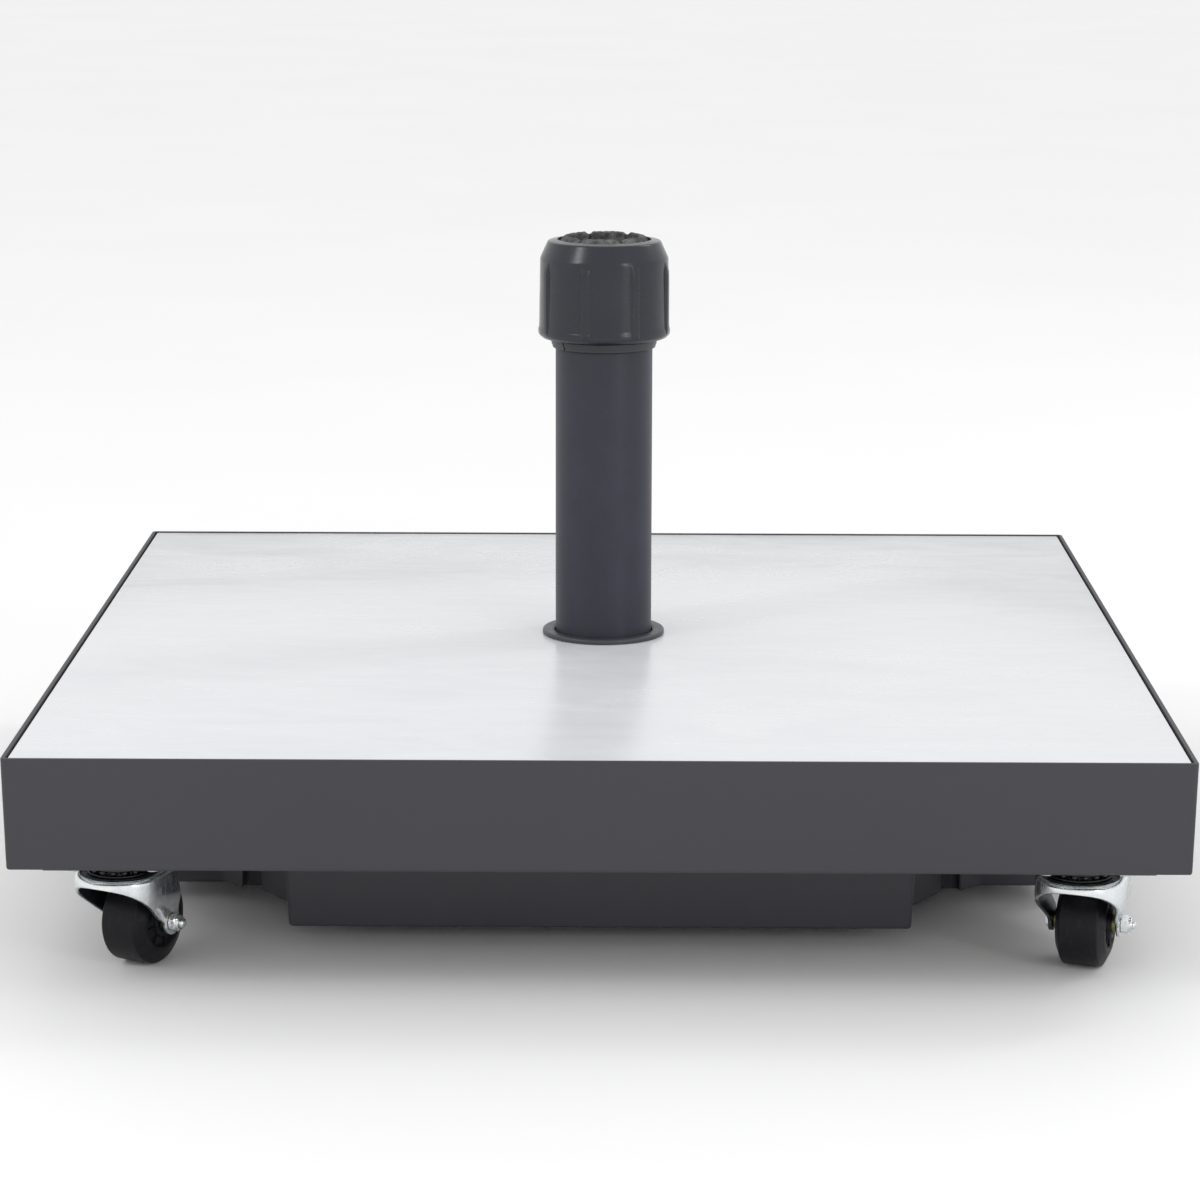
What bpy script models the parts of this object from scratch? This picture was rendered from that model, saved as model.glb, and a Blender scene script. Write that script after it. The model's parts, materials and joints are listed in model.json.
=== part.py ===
"""A wheeled parasol base: a square stone-topped ballast frame on four swivel castors, with a clamping pole tube.

Metres, +Z up. The origin lies on the floor under the middle of the base, and +Y points to the back.
Every sub-part is one named object. Pieces that touch keep the gap FIT, so that no two solids overlap.
"""
import math

import bmesh
import bpy
from mathutils import Matrix, Vector

OBJECT_NAME = "parasol_base"

# Gap between touching pieces, and between moving ones
FIT = 0.0003
RUNNING = 0.0004

# Outer frame
BASE_SIDE = 0.700
FRAME_HEIGHT = 0.0682
FRAME_SHEET = 0.0025
FRAME_LEAN = 0.0016
FRAME_CORNER = 0.003
FLANGE_WIDTH = 0.040
FLANGE_SHEET = 0.003

# Stone top plate
TOP_PLATE_THICKNESS = 0.012
TOP_PLATE_JOINT = 0.0015
TOP_PLATE_SINK = 0.0005
TOP_PLATE_HOLE_CLEARANCE = 0.00175

# Ballast casting and the tray it is cast in, placed inwards from the frame's outer faces
CASTING_SIDE_CLEARANCE = 0.001
GROUND_CLEARANCE = 0.0117
TRAY_WALL = 0.003
TRAY_DRAFT = 0.003
WELL_FACE_INSET = 0.108
WELL_CORNER_INSET = 0.154
SHOULDER_INSET = 0.153
SPLAY_END_ALONG = 0.129
SPLAY_END_ACROSS = 0.189
GROOVE_WIDTH = 0.007
GROOVE_DEPTH = 0.011
WING_BEVEL_ALONG = 0.105
WING_FACE_INSET = 0.204
WING_END_INSET = 0.050

# Foot of the pole tube, bolted up into a pocket under the casting
FOOT_SIDE = 0.140
FOOT_THICKNESS = 0.006
FOOT_POCKET_MARGIN = 0.005
FOOT_POCKET_DEPTH = 0.0190
FOOT_DRAIN_RADIUS = 0.006
FOOT_BOLT_RADIUS = 0.004
FOOT_BOLT_LENGTH = 0.045
FOOT_BOLT_ACROSS_FLATS = 0.013
FOOT_BOLT_HEAD = 0.0053
FOOT_BOLT_EDGE = 0.020

# Pole tube
TUBE_RADIUS = 0.03225
TUBE_WALL = 0.00225
TUBE_ABOVE_RIM = 0.194
CASTING_BORE_CLEARANCE = 0.001
COVER_RING_RADIUS = 0.041
COVER_RING_THICKNESS = 0.003
COVER_RING_ROUNDING = 0.0013
COVER_RING_GAP = 0.0006
POLE_GUIDE_HEIGHT = 0.050
POLE_GUIDE_BORE = 0.0245
POLE_GUIDE_LEAD = 0.004
POLE_GUIDE_FLOOR = 0.004
POLE_SEAT_RADIUS = 0.023
POLE_SEAT_RISE = 0.001

# Threaded collar in the top of the tube
COLLAR_SPIGOT = 0.025
COLLAR_RING_RADIUS = 0.0355
COLLAR_RING_HEIGHT = 0.0057
COLLAR_STEP = 0.0006
COLLAR_SLEEVE_RADIUS = 0.0345
COLLAR_HEIGHT = 0.050
COLLAR_BORE = 0.0255
COLLAR_SLIT_WIDTH = 0.0012
COLLAR_SLIT_DEPTH = 0.0012
COLLAR_SLIT_ANGLE = math.radians(-49)

# Clamp jaws and the taper that closes them
JAW_COUNT = 6
JAW_BORE = 0.0237
JAW_GAP = 0.0024
JAW_TOP_RADIUS = 0.0264
JAW_CROWN = 0.0043
JAW_HEIGHT = 0.0240
JAW_FIRST_ANGLE = math.radians(84)
TAPER = 0.45
TAPER_HEIGHT = 0.0146
TAPER_TOP_RADIUS = 0.0295
PRESSURE_RING_WALL = 0.0025

# Clamp cap
CAP_OPENING = 0.031
CAP_LIP_THICKNESS = 0.0013
CAP_TOP_RADIUS = 0.0374
CAP_TOP_CAMBER = 0.0011
CAP_TOP_EDGE = 0.0010
CAP_WALL = 0.0031
CAP_SHOULDER_ROUNDING = 0.0016
CAP_DRAFT = 0.0007
CAP_FOOT_RADIUS = 0.0438
CAP_FOOT_HEIGHT = 0.0032
CAP_FOOT_STEP = 0.0016
CAP_UNDERCUT = 0.0024
CAP_ABOVE_RING = 0.0010
CAP_MOUTH_HEIGHT = 0.008
CAP_THREAD_CLEARANCE = 0.0005
RIB_COUNT = 8
RIB_WIDTH = 0.0070
RIB_CREST = 0.0044
RIB_PROUD = 0.0015
RIB_TOP_SLOPE = 0.009
RIB_TOP_BELOW_SHOULDER = 0.003
RIB_FIRST_ANGLE = math.radians(-106.5)

# Castors
CASTOR_INSET = 0.060
CASTOR_HEIGHT = 0.0737
CASTOR_TRAIL = 0.0231
CASTOR_YAW = {
    "front_left": math.radians(-27.0),
    "front_right": math.radians(-18.4),
    "rear_left": math.radians(-24.0),
    "rear_right": math.radians(-21.0),
}
CORNER_PLATE_SIDE = 0.080
CORNER_PLATE_THICKNESS = 0.005
CORNER_PLATE_CHAMFER = 0.022
MOUNT_PLATE_SIDE = 0.060
MOUNT_PLATE_THICKNESS = 0.0025
MOUNT_PLATE_CORNER = 0.006
MOUNT_BOSS_RADIUS = 0.0215
MOUNT_HOLE_RADIUS = 0.0032
MOUNT_HOLE_SPACING = 0.047
RACE_RADIUS = 0.0170
RACE_HEIGHT = 0.0053
KINGPIN_RADIUS = 0.006
KINGPIN_HEAD_RADIUS = 0.010
KINGPIN_HEAD_HEIGHT = 0.0027
FORK_TOP = 0.0625
FORK_SHEET = 0.0023
FORK_CROWN_RADIUS = 0.0270
FORK_EDGE_ROUNDING = 0.003
FORK_AXLE_HALF_WIDTH = 0.0220
FORK_JOGGLE_BOTTOM = 0.033
FORK_JOGGLE_TOP = 0.047
FORK_BOSS_RADIUS = 0.0078
FORK_SKIRT = 0.0045
FORK_CROWN_BACK = 0.0205
FORK_CROWN_CHAMFER = 0.008
# The leg's front edge, as distances behind the kingpin and heights above the axle
FORK_FRONT_EDGE = ((-0.0205, 0.0277), (-0.0130, 0.0228), (-0.0050, 0.0165), (0.0010, 0.0116), (0.0055, 0.0078),
                   (0.0095, 0.0048), (0.0130, 0.0023))
WHEEL_RADIUS = 0.0272
WHEEL_WIDTH = 0.031
WHEEL_TREAD_WIDTH = 0.023
WHEEL_TREAD_ROUNDING = 0.0012
WHEEL_FACE_RADIUS = 0.019
WHEEL_DISH_RADIUS = 0.0160
WHEEL_DISH_DEPTH = 0.002
WHEEL_HUB_RADIUS = 0.0092
WHEEL_HUB_WIDTH = 0.0340
BUSH_RADIUS = 0.0055
BUSH_LENGTH = 0.0388
AXLE_RADIUS = 0.003
AXLE_HEAD_THICKNESS = 0.002
AXLE_END = 0.0307
AXLE_NUT_THICKNESS = 0.0060
AXLE_NUT_ACROSS_FLATS = 0.010

# Facets in a full turn
TUBE_STEPS = 36
WHEEL_STEPS = 24
SMALL_STEPS = 16
HOLE_STEPS = 12
CORNER_STEPS = 3

# Levels and plan positions that follow from the sizes above
HALF_SIDE = BASE_SIDE / 2
FRAME_BOTTOM = CASTOR_HEIGHT + CORNER_PLATE_THICKNESS + 2 * FIT
RIM_TOP = FRAME_BOTTOM + FRAME_HEIGHT
PLATE_TOP = RIM_TOP - TOP_PLATE_SINK
PLATE_BOTTOM = PLATE_TOP - TOP_PLATE_THICKNESS
CASTING_BOTTOM = FRAME_BOTTOM + FLANGE_SHEET + FIT
POCKET_CEILING = GROUND_CLEARANCE + TRAY_WALL + FIT + FOOT_POCKET_DEPTH
POCKET_HALF = FOOT_SIDE / 2 + FOOT_POCKET_MARGIN
FOOT_TOP = POCKET_CEILING - FIT
FOOT_BOTTOM = FOOT_TOP - FOOT_THICKNESS
TUBE_TOP = RIM_TOP + TUBE_ABOVE_RIM
TUBE_BORE = TUBE_RADIUS - TUBE_WALL
COLLAR_BOTTOM = TUBE_TOP + FIT
COLLAR_RING_TOP = COLLAR_BOTTOM + COLLAR_RING_HEIGHT
COLLAR_TOP = COLLAR_BOTTOM + COLLAR_HEIGHT
JAW_BOTTOM = COLLAR_TOP + FIT
JAW_TOP = JAW_BOTTOM + JAW_HEIGHT
TAPER_TOP = JAW_TOP - JAW_CROWN
TAPER_BOTTOM = TAPER_TOP - TAPER_HEIGHT
TAPER_GROWTH = TAPER * TAPER_HEIGHT
PRESSURE_RING_BORE = TAPER_TOP_RADIUS + RUNNING
CAP_TAPER_TOP_RADIUS = PRESSURE_RING_BORE + PRESSURE_RING_WALL + RUNNING
CAP_BOTTOM = COLLAR_RING_TOP + CAP_ABOVE_RING
CAP_INNER_RADIUS = CAP_TAPER_TOP_RADIUS + TAPER_GROWTH
CAP_BODY_RADIUS = CAP_INNER_RADIUS + CAP_WALL
CAP_LEDGE = TAPER_TOP + RUNNING
CAP_THREAD_TOP = COLLAR_TOP - RUNNING
CAP_TOP = CAP_LEDGE + CAP_LIP_THICKNESS
CAP_SHOULDER = CAP_TOP - CAP_TOP_CAMBER - (CAP_BODY_RADIUS - CAP_TOP_RADIUS) / TAPER
CASTOR_AXIS = HALF_SIDE - CASTOR_INSET
MOUNT_PLATE_BOTTOM = CASTOR_HEIGHT - MOUNT_PLATE_THICKNESS
AXLE_SEAT = FORK_AXLE_HALF_WIDTH + FIT

parts = bpy.data.collections.new(OBJECT_NAME)
cutters = bpy.data.collections.new(OBJECT_NAME + "_cutters")


# ---------------------------------------------------------------- helpers

def clear_scene():
    for obj in list(bpy.data.objects):
        bpy.data.objects.remove(obj, do_unlink=True)
    bpy.context.scene.collection.children.link(parts)
    bpy.context.scene.collection.children.link(cutters)


def surface(name, colour, roughness, metallic=0.0):
    material = bpy.data.materials.new(name)
    material.use_nodes = True
    shader = material.node_tree.nodes["Principled BSDF"]
    shader.inputs["Base Color"].default_value = (*colour, 1.0)
    shader.inputs["Roughness"].default_value = roughness
    shader.inputs["Metallic"].default_value = metallic
    return material


def add_object(name, mesh, collection):
    obj = bpy.data.objects.new(name, mesh)
    collection.objects.link(obj)
    return obj


def as_part(obj, material, sharp_angle=math.radians(30)):
    """Give a finished sub-part its material and smooth shading with crisp edges."""
    obj.data.materials.clear()
    obj.data.materials.append(material)
    obj.data.shade_smooth()
    obj.data.set_sharp_from_angle(angle=sharp_angle)
    return obj


def as_cutter(obj):
    obj.hide_render = True
    obj.display_type = "WIRE"
    return obj


def combine(obj, other, operation):
    """Cut, join or intersect obj with the cutter other."""
    modifier = obj.modifiers.new(other.name, "BOOLEAN")
    modifier.operation = operation
    modifier.solver = "EXACT"
    modifier.object = as_cutter(other)
    return obj


def settle(obj):
    """Turn an object's modifiers into its own mesh, so that copies can share it."""
    bpy.context.view_layer.update()
    graph = bpy.context.evaluated_depsgraph_get()
    mesh = bpy.data.meshes.new_from_object(obj.evaluated_get(graph))
    obj.modifiers.clear()
    obj.data = mesh
    return obj


def box(name, low, high, collection=parts):
    """A box between two opposite corners."""
    size = [b - a for a, b in zip(low, high)]
    middle = [(a + b) / 2 for a, b in zip(low, high)]
    shape = bmesh.new()
    bmesh.ops.create_cube(shape, size=1.0, matrix=Matrix.Translation(middle) @ Matrix.Diagonal((*size, 1.0)))
    mesh = bpy.data.meshes.new(name)
    shape.to_mesh(mesh)
    shape.free()
    return add_object(name, mesh, collection)


def rod(name, radius, bottom, top, steps=HOLE_STEPS, centre=(0.0, 0.0), collection=cutters):
    """An upright cylinder, or a prism when steps is small."""
    shape = bmesh.new()
    place = Matrix.Translation((centre[0], centre[1], (bottom + top) / 2))
    bmesh.ops.create_cone(shape, cap_ends=True, segments=steps, radius1=radius, radius2=radius,
                          depth=top - bottom, matrix=place)
    mesh = bpy.data.meshes.new(name)
    shape.to_mesh(mesh)
    shape.free()
    return add_object(name, mesh, collection)


def turned(name, profile, steps, collection=parts):
    """A ring or solid of revolution. The profile runs down its outer side and, for a ring, back up its bore."""
    on_axis = min(radius for radius, _ in profile) == 0.0
    shape = bmesh.new()
    points = [shape.verts.new((radius, 0.0, height)) for radius, height in profile]
    for start, end in zip(points, points[1:]):
        shape.edges.new((start, end))
    if not on_axis:
        shape.edges.new((points[-1], points[0]))
    mesh = bpy.data.meshes.new(name)
    shape.to_mesh(mesh)
    shape.free()
    obj = add_object(name, mesh, collection)
    screw = obj.modifiers.new("turn", "SCREW")
    screw.steps = steps
    screw.render_steps = steps
    screw.use_merge_vertices = True
    screw.merge_threshold = 0.00001
    return obj


def loft(name, rings, collection=parts):
    """A closed solid through rings of equal length, each anticlockwise from above, lowest ring first."""
    shape = bmesh.new()
    layers = [[shape.verts.new(point) for point in ring] for ring in rings]
    count = len(layers[0])
    for lower, upper in zip(layers, layers[1:]):
        for i in range(count):
            j = (i + 1) % count
            shape.faces.new((lower[i], lower[j], upper[j], upper[i]))
    shape.faces.new(layers[0][::-1])
    shape.faces.new(layers[-1])
    mesh = bpy.data.meshes.new(name)
    shape.to_mesh(mesh)
    shape.free()
    return add_object(name, mesh, collection)


def extruded(name, outline, low, high, collection=parts):
    """A flat outline, given as plan points, between two heights."""
    curve = bpy.data.curves.new(name, "CURVE")
    curve.dimensions = "2D"
    curve.fill_mode = "BOTH"
    curve.extrude = (high - low) / 2
    spline = curve.splines.new("POLY")
    spline.points.add(len(outline) - 1)
    for point, (x, y) in zip(spline.points, outline):
        point.co = (x, y, 0.0, 1.0)
    spline.use_cyclic_u = True
    shaper = add_object(name + "_outline", curve, collection)
    bpy.context.view_layer.update()
    mesh = bpy.data.meshes.new_from_object(shaper.evaluated_get(bpy.context.evaluated_depsgraph_get()))
    bpy.data.objects.remove(shaper, do_unlink=True)
    shape = bmesh.new()
    shape.from_mesh(mesh)
    bmesh.ops.remove_doubles(shape, verts=shape.verts, dist=0.000001)
    bmesh.ops.recalc_face_normals(shape, faces=shape.faces)
    shape.to_mesh(mesh)
    shape.free()
    mesh.transform(Matrix.Translation((0.0, 0.0, (low + high) / 2)))
    return add_object(name, mesh, collection)


def at_height(outline, height):
    return [(x, y, height) for x, y in outline]


def arc(centre, radius, start, end, steps):
    """Plan points on an arc, both ends included."""
    angles = [start + (end - start) * i / steps for i in range(steps + 1)]
    return [(centre[0] + radius * math.cos(a), centre[1] + radius * math.sin(a)) for a in angles]


def rounded_square(half, radius, steps=CORNER_STEPS):
    """An anticlockwise square outline with rounded corners."""
    points = []
    for quarter in range(4):
        angle = quarter * math.pi / 2
        side_x = math.copysign(half - radius, math.cos(angle + math.pi / 4))
        side_y = math.copysign(half - radius, math.sin(angle + math.pi / 4))
        points += arc((side_x, side_y), radius, angle, angle + math.pi / 2, steps)
    return points


def inset(outline, distance):
    """The anticlockwise outline moved inwards by distance, with mitred corners."""
    moved = []
    for i, point in enumerate(outline):
        before = Vector(point) - Vector(outline[i - 1])
        after = Vector(outline[(i + 1) % len(outline)]) - Vector(point)
        normal_before = Vector((-before.y, before.x)).normalized()
        normal_after = Vector((-after.y, after.x)).normalized()
        mitre = (normal_before + normal_after).normalized()
        shift = mitre * (distance / mitre.dot(normal_after))
        moved.append((point[0] + shift.x, point[1] + shift.y))
    return moved


def hexagon_radius(across_flats):
    return across_flats / 2 / math.cos(math.pi / 6)


def on_side(obj):
    """Lay a part that was turned about Z on its side, so that its axis runs along X."""
    obj.data.transform(Matrix.Rotation(math.pi / 2, 4, "Y"))
    return obj


# ---------------------------------------------------------------- frame, top plate and ballast

def frame_half(height):
    """Half the frame's outer width at a height: its sides lean in towards the floor."""
    return HALF_SIDE - FRAME_LEAN * (RIM_TOP - height) / FRAME_HEIGHT


def make_frame():
    rim_radius = FRAME_CORNER
    frame = loft("frame", [at_height(rounded_square(frame_half(z), rim_radius), z) for z in (FRAME_BOTTOM, RIM_TOP)])
    flange_top = FRAME_BOTTOM + FLANGE_SHEET
    over_rim = RIM_TOP + FRAME_HEIGHT
    inner_radius = max(rim_radius - FRAME_SHEET, FIT)
    rings = [at_height(rounded_square(frame_half(z) - FRAME_SHEET, inner_radius), z) for z in (flange_top, over_rim)]
    combine(frame, loft("frame_inside", rings, cutters), "DIFFERENCE")
    opening = HALF_SIDE - FLANGE_WIDTH
    under = FRAME_BOTTOM - FRAME_HEIGHT
    combine(frame, box("frame_opening", (-opening, -opening, under), (opening, opening, over_rim), cutters),
            "DIFFERENCE")
    return as_part(frame, surface("anthracite_powder_coat", (0.072, 0.069, 0.078), 0.55))


def make_top_plate():
    half = HALF_SIDE - FRAME_SHEET - TOP_PLATE_JOINT
    plate = extruded("top_plate", rounded_square(half, FRAME_CORNER / 2), PLATE_BOTTOM, PLATE_TOP)
    hole = rod("top_plate_hole", TUBE_RADIUS + TOP_PLATE_HOLE_CLEARANCE, PLATE_BOTTOM - TOP_PLATE_THICKNESS,
               PLATE_TOP + TOP_PLATE_THICKNESS, TUBE_STEPS)
    combine(plate, hole, "DIFFERENCE")
    return as_part(plate, surface("pale_ceramic", (0.74, 0.77, 0.80), 0.35))


def tray_outline():
    """Plan of the ballast tray: a deep well with splayed corners and two wings that pass between the castors."""
    splay_end = (HALF_SIDE - SPLAY_END_ALONG, HALF_SIDE - SPLAY_END_ACROSS)
    wing_start = (splay_end[0] + GROOVE_WIDTH, splay_end[1] + GROOVE_WIDTH / 2)
    quarter = [
        (HALF_SIDE - WING_END_INSET, HALF_SIDE - WING_FACE_INSET),
        (HALF_SIDE - WING_BEVEL_ALONG, HALF_SIDE - WING_FACE_INSET),
        wing_start,
        (wing_start[0] - GROOVE_WIDTH / 4, wing_start[1] - GROOVE_DEPTH),
        (splay_end[0] - GROOVE_WIDTH / 8, splay_end[1] - GROOVE_DEPTH + GROOVE_WIDTH / 2),
        splay_end,
        (HALF_SIDE - SHOULDER_INSET, HALF_SIDE - SHOULDER_INSET),
        (HALF_SIDE - WELL_CORNER_INSET, HALF_SIDE - WELL_FACE_INSET),
    ]
    back_left = [(-x, y) for x, y in reversed(quarter)]
    front_left = [(-x, -y) for x, y in quarter]
    front_right = [(x, -y) for x, y in reversed(quarter)]
    return quarter + back_left + front_left + front_right


def tray_rings(offset, low, high):
    """The tray's plan at two heights, offset inwards, with the draft of its walls."""
    outline = tray_outline()
    wall_height = CASTING_BOTTOM - FIT - GROUND_CLEARANCE
    rings = []
    for height in (low, high):
        draft = TRAY_DRAFT * (1 - (height - GROUND_CLEARANCE) / wall_height)
        rings.append(at_height(inset(outline, offset + draft), height))
    return rings


def make_tray():
    top = CASTING_BOTTOM - FIT
    tray = loft("ballast_tray", tray_rings(0.0, GROUND_CLEARANCE, top))
    inside = loft("tray_inside", tray_rings(TRAY_WALL, GROUND_CLEARANCE + TRAY_WALL, top + TRAY_WALL), cutters)
    combine(tray, inside, "DIFFERENCE")
    access = (POCKET_HALF, POCKET_HALF, GROUND_CLEARANCE + 2 * TRAY_WALL)
    combine(tray, box("tray_access", (-POCKET_HALF, -POCKET_HALF, 0.0), access, cutters), "DIFFERENCE")
    return as_part(tray, surface("anthracite_tray", (0.055, 0.053, 0.060), 0.6))


def foot_bolt_places():
    offset = FOOT_SIDE / 2 - FOOT_BOLT_EDGE
    return [(x * offset, y * offset) for x, y in ((1, 1), (-1, 1), (-1, -1), (1, -1))]


def make_casting():
    half = frame_half(CASTING_BOTTOM) - FRAME_SHEET - CASTING_SIDE_CLEARANCE
    top = PLATE_BOTTOM - FIT
    casting = box("ballast_casting", (-half, -half, CASTING_BOTTOM), (half, half, top))
    block_bottom = GROUND_CLEARANCE + TRAY_WALL + FIT
    block_rings = tray_rings(TRAY_WALL + FIT, block_bottom, CASTING_BOTTOM + FLANGE_SHEET)
    combine(casting, loft("casting_block", block_rings, cutters), "UNION")
    pocket = box("casting_pocket", (-POCKET_HALF, -POCKET_HALF, 0.0), (POCKET_HALF, POCKET_HALF, POCKET_CEILING), cutters)
    combine(casting, pocket, "DIFFERENCE")
    bore = rod("casting_bore", TUBE_RADIUS + CASTING_BORE_CLEARANCE, 0.0, RIM_TOP, TUBE_STEPS)
    combine(casting, bore, "DIFFERENCE")
    anchor_top = FOOT_BOTTOM - FIT + FOOT_BOLT_LENGTH + FIT
    for number, place in enumerate(foot_bolt_places(), start=1):
        anchor = rod(f"casting_anchor_{number}", FOOT_BOLT_RADIUS + FIT, FOOT_BOTTOM, anchor_top, HOLE_STEPS, place)
        combine(casting, anchor, "DIFFERENCE")
    return as_part(casting, surface("concrete", (0.33, 0.32, 0.30), 0.9))


# ---------------------------------------------------------------- pole tube

def make_tube():
    tube = turned("stand_tube", [
        (TUBE_BORE, TUBE_TOP),
        (TUBE_RADIUS, TUBE_TOP),
        (TUBE_RADIUS, FOOT_BOTTOM + FOOT_THICKNESS / 2),
        (TUBE_BORE, FOOT_BOTTOM + FOOT_THICKNESS / 2),
    ], TUBE_STEPS)
    foot = extruded("tube_foot", rounded_square(FOOT_SIDE / 2, FOOT_BOLT_RADIUS), FOOT_BOTTOM, FOOT_TOP, cutters)
    combine(tube, foot, "UNION")
    combine(tube, rod("foot_drain", FOOT_DRAIN_RADIUS, 0.0, POCKET_CEILING), "DIFFERENCE")
    for number, place in enumerate(foot_bolt_places(), start=1):
        hole = rod(f"foot_hole_{number}", FOOT_BOLT_RADIUS + FIT, 0.0, POCKET_CEILING + FIT, HOLE_STEPS, place)
        combine(tube, hole, "DIFFERENCE")
    return as_part(tube, surface("anthracite_tube", (0.062, 0.064, 0.072), 0.45))


def make_foot_bolts():
    """Hexagon bolts that hold the tube's foot up against the casting."""
    steel = surface("bolt_steel", (0.62, 0.63, 0.65), 0.35, 1.0)
    seat = FOOT_BOTTOM - FIT
    for number, place in enumerate(foot_bolt_places(), start=1):
        head_radius = hexagon_radius(FOOT_BOLT_ACROSS_FLATS)
        bolt = rod(f"foot_bolt_{number}", head_radius, seat - FOOT_BOLT_HEAD, seat, 6, place, parts)
        shank_bottom = seat - FOOT_BOLT_HEAD / 2
        shank = rod(f"foot_bolt_shank_{number}", FOOT_BOLT_RADIUS, shank_bottom, seat + FOOT_BOLT_LENGTH,
                    HOLE_STEPS, place)
        combine(bolt, shank, "UNION")
        as_part(bolt, steel)


def make_cover_ring():
    bottom = PLATE_TOP + FIT
    top = bottom + COVER_RING_THICKNESS
    bore = TUBE_RADIUS + COVER_RING_GAP
    edge = arc((COVER_RING_RADIUS - COVER_RING_ROUNDING, top - COVER_RING_ROUNDING), COVER_RING_ROUNDING,
               math.pi / 2, 0.0, CORNER_STEPS)
    ring = turned("cover_ring", [(bore, top)] + edge + [(COVER_RING_RADIUS, bottom), (bore, bottom)], TUBE_STEPS)
    return as_part(ring, surface("cover_ring_plastic", (0.070, 0.074, 0.080), 0.4))


def make_pole_guide():
    """A cup in the foot of the tube that centres the pole. The pole stands on its raised seat."""
    bottom = FOOT_TOP + FIT
    top = bottom + POLE_GUIDE_HEIGHT
    outside = TUBE_BORE - FIT
    seat = bottom + POLE_GUIDE_FLOOR
    guide = turned("pole_guide", [
        (POLE_GUIDE_BORE + POLE_GUIDE_LEAD, top),
        (outside, top),
        (outside, bottom),
        (FOOT_DRAIN_RADIUS, bottom),
        (FOOT_DRAIN_RADIUS, seat),
        (POLE_SEAT_RADIUS, seat),
        (POLE_SEAT_RADIUS, seat - POLE_SEAT_RISE),
        (POLE_GUIDE_BORE, seat - POLE_SEAT_RISE),
        (POLE_GUIDE_BORE, top - 2 * POLE_GUIDE_LEAD),
    ], TUBE_STEPS)
    return as_part(guide, surface("guide_plastic", (0.035, 0.035, 0.038), 0.55))


def make_collar():
    """Threaded collar: a spigot in the tube, a stepped ring on its end and the sleeve that the cap screws on."""
    spigot = TUBE_BORE - FIT
    upper_step = COLLAR_BOTTOM + 2 * COLLAR_RING_HEIGHT / 3
    lower_step = COLLAR_BOTTOM + COLLAR_RING_HEIGHT / 3
    collar = turned("threaded_collar", [
        (COLLAR_BORE, COLLAR_TOP),
        (COLLAR_SLEEVE_RADIUS, COLLAR_TOP),
        (COLLAR_SLEEVE_RADIUS, COLLAR_RING_TOP),
        (COLLAR_RING_RADIUS, COLLAR_RING_TOP),
        (COLLAR_RING_RADIUS, upper_step),
        (COLLAR_RING_RADIUS - COLLAR_STEP, upper_step),
        (COLLAR_RING_RADIUS - COLLAR_STEP, lower_step),
        (COLLAR_RING_RADIUS - 2 * COLLAR_STEP, lower_step),
        (COLLAR_RING_RADIUS - 2 * COLLAR_STEP, COLLAR_BOTTOM),
        (spigot, COLLAR_BOTTOM),
        (spigot, COLLAR_BOTTOM - COLLAR_SPIGOT),
        (COLLAR_BORE, COLLAR_BOTTOM - COLLAR_SPIGOT),
    ], TUBE_STEPS)
    inner = COLLAR_RING_RADIUS - COLLAR_SLIT_DEPTH
    slit = box("collar_slit", (-COLLAR_SLIT_WIDTH / 2, -2 * COLLAR_RING_RADIUS, COLLAR_BOTTOM - FIT),
               (COLLAR_SLIT_WIDTH / 2, -inner, COLLAR_RING_TOP + FIT), cutters)
    slit.rotation_euler.z = COLLAR_SLIT_ANGLE
    combine(collar, slit, "DIFFERENCE")
    return as_part(collar, surface("collar_plastic", (0.080, 0.082, 0.088), 0.45))


# ---------------------------------------------------------------- clamp

def make_pressure_ring():
    """The ring inside the cap that travels with it without turning, and wedges the jaws inwards."""
    foot = CAP_THREAD_TOP + RUNNING
    bore = PRESSURE_RING_BORE
    outside = bore + PRESSURE_RING_WALL
    ring = turned("pressure_ring", [
        (bore, TAPER_TOP),
        (outside, TAPER_TOP),
        (outside + TAPER_GROWTH, TAPER_BOTTOM),
        (outside + TAPER_GROWTH, foot),
        (bore + TAPER_GROWTH, foot),
        (bore + TAPER_GROWTH, TAPER_BOTTOM),
    ], TUBE_STEPS)
    return as_part(ring, surface("pressure_ring_plastic", (0.045, 0.047, 0.050), 0.5))


def jaw_angles():
    return [JAW_FIRST_ANGLE - 2 * math.pi * i / JAW_COUNT for i in range(JAW_COUNT)]


def make_jaws():
    """Wedge-shaped jaws around the pole, parted by gaps that let them close."""
    rubber = surface("jaw_rubber", (0.095, 0.093, 0.092), 0.85)
    blank = settle(turned("jaw_blank", [
        (JAW_BORE, JAW_TOP),
        (JAW_TOP_RADIUS, JAW_TOP),
        (TAPER_TOP_RADIUS, TAPER_TOP),
        (TAPER_TOP_RADIUS + TAPER_GROWTH, TAPER_BOTTOM),
        (TAPER_TOP_RADIUS + TAPER_GROWTH, JAW_BOTTOM),
        (JAW_BORE, JAW_BOTTOM),
    ], TUBE_STEPS, cutters))
    as_cutter(blank)
    reach = 2 * CAP_BODY_RADIUS
    half_sector = math.pi / JAW_COUNT
    apex = JAW_GAP / 2 / math.sin(half_sector)
    for number, angle in enumerate(jaw_angles(), start=1):
        outline = [
            (apex, 0.0),
            (apex + reach * math.cos(half_sector), -reach * math.sin(half_sector)),
            (apex + reach * math.cos(half_sector), reach * math.sin(half_sector)),
        ]
        jaw = extruded(f"clamp_jaw_{number}", outline, JAW_BOTTOM - FIT, JAW_TOP + FIT)
        jaw.data.transform(Matrix.Rotation(angle, 4, "Z"))
        combine(jaw, blank, "INTERSECT")
        as_part(jaw, rubber)


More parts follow.
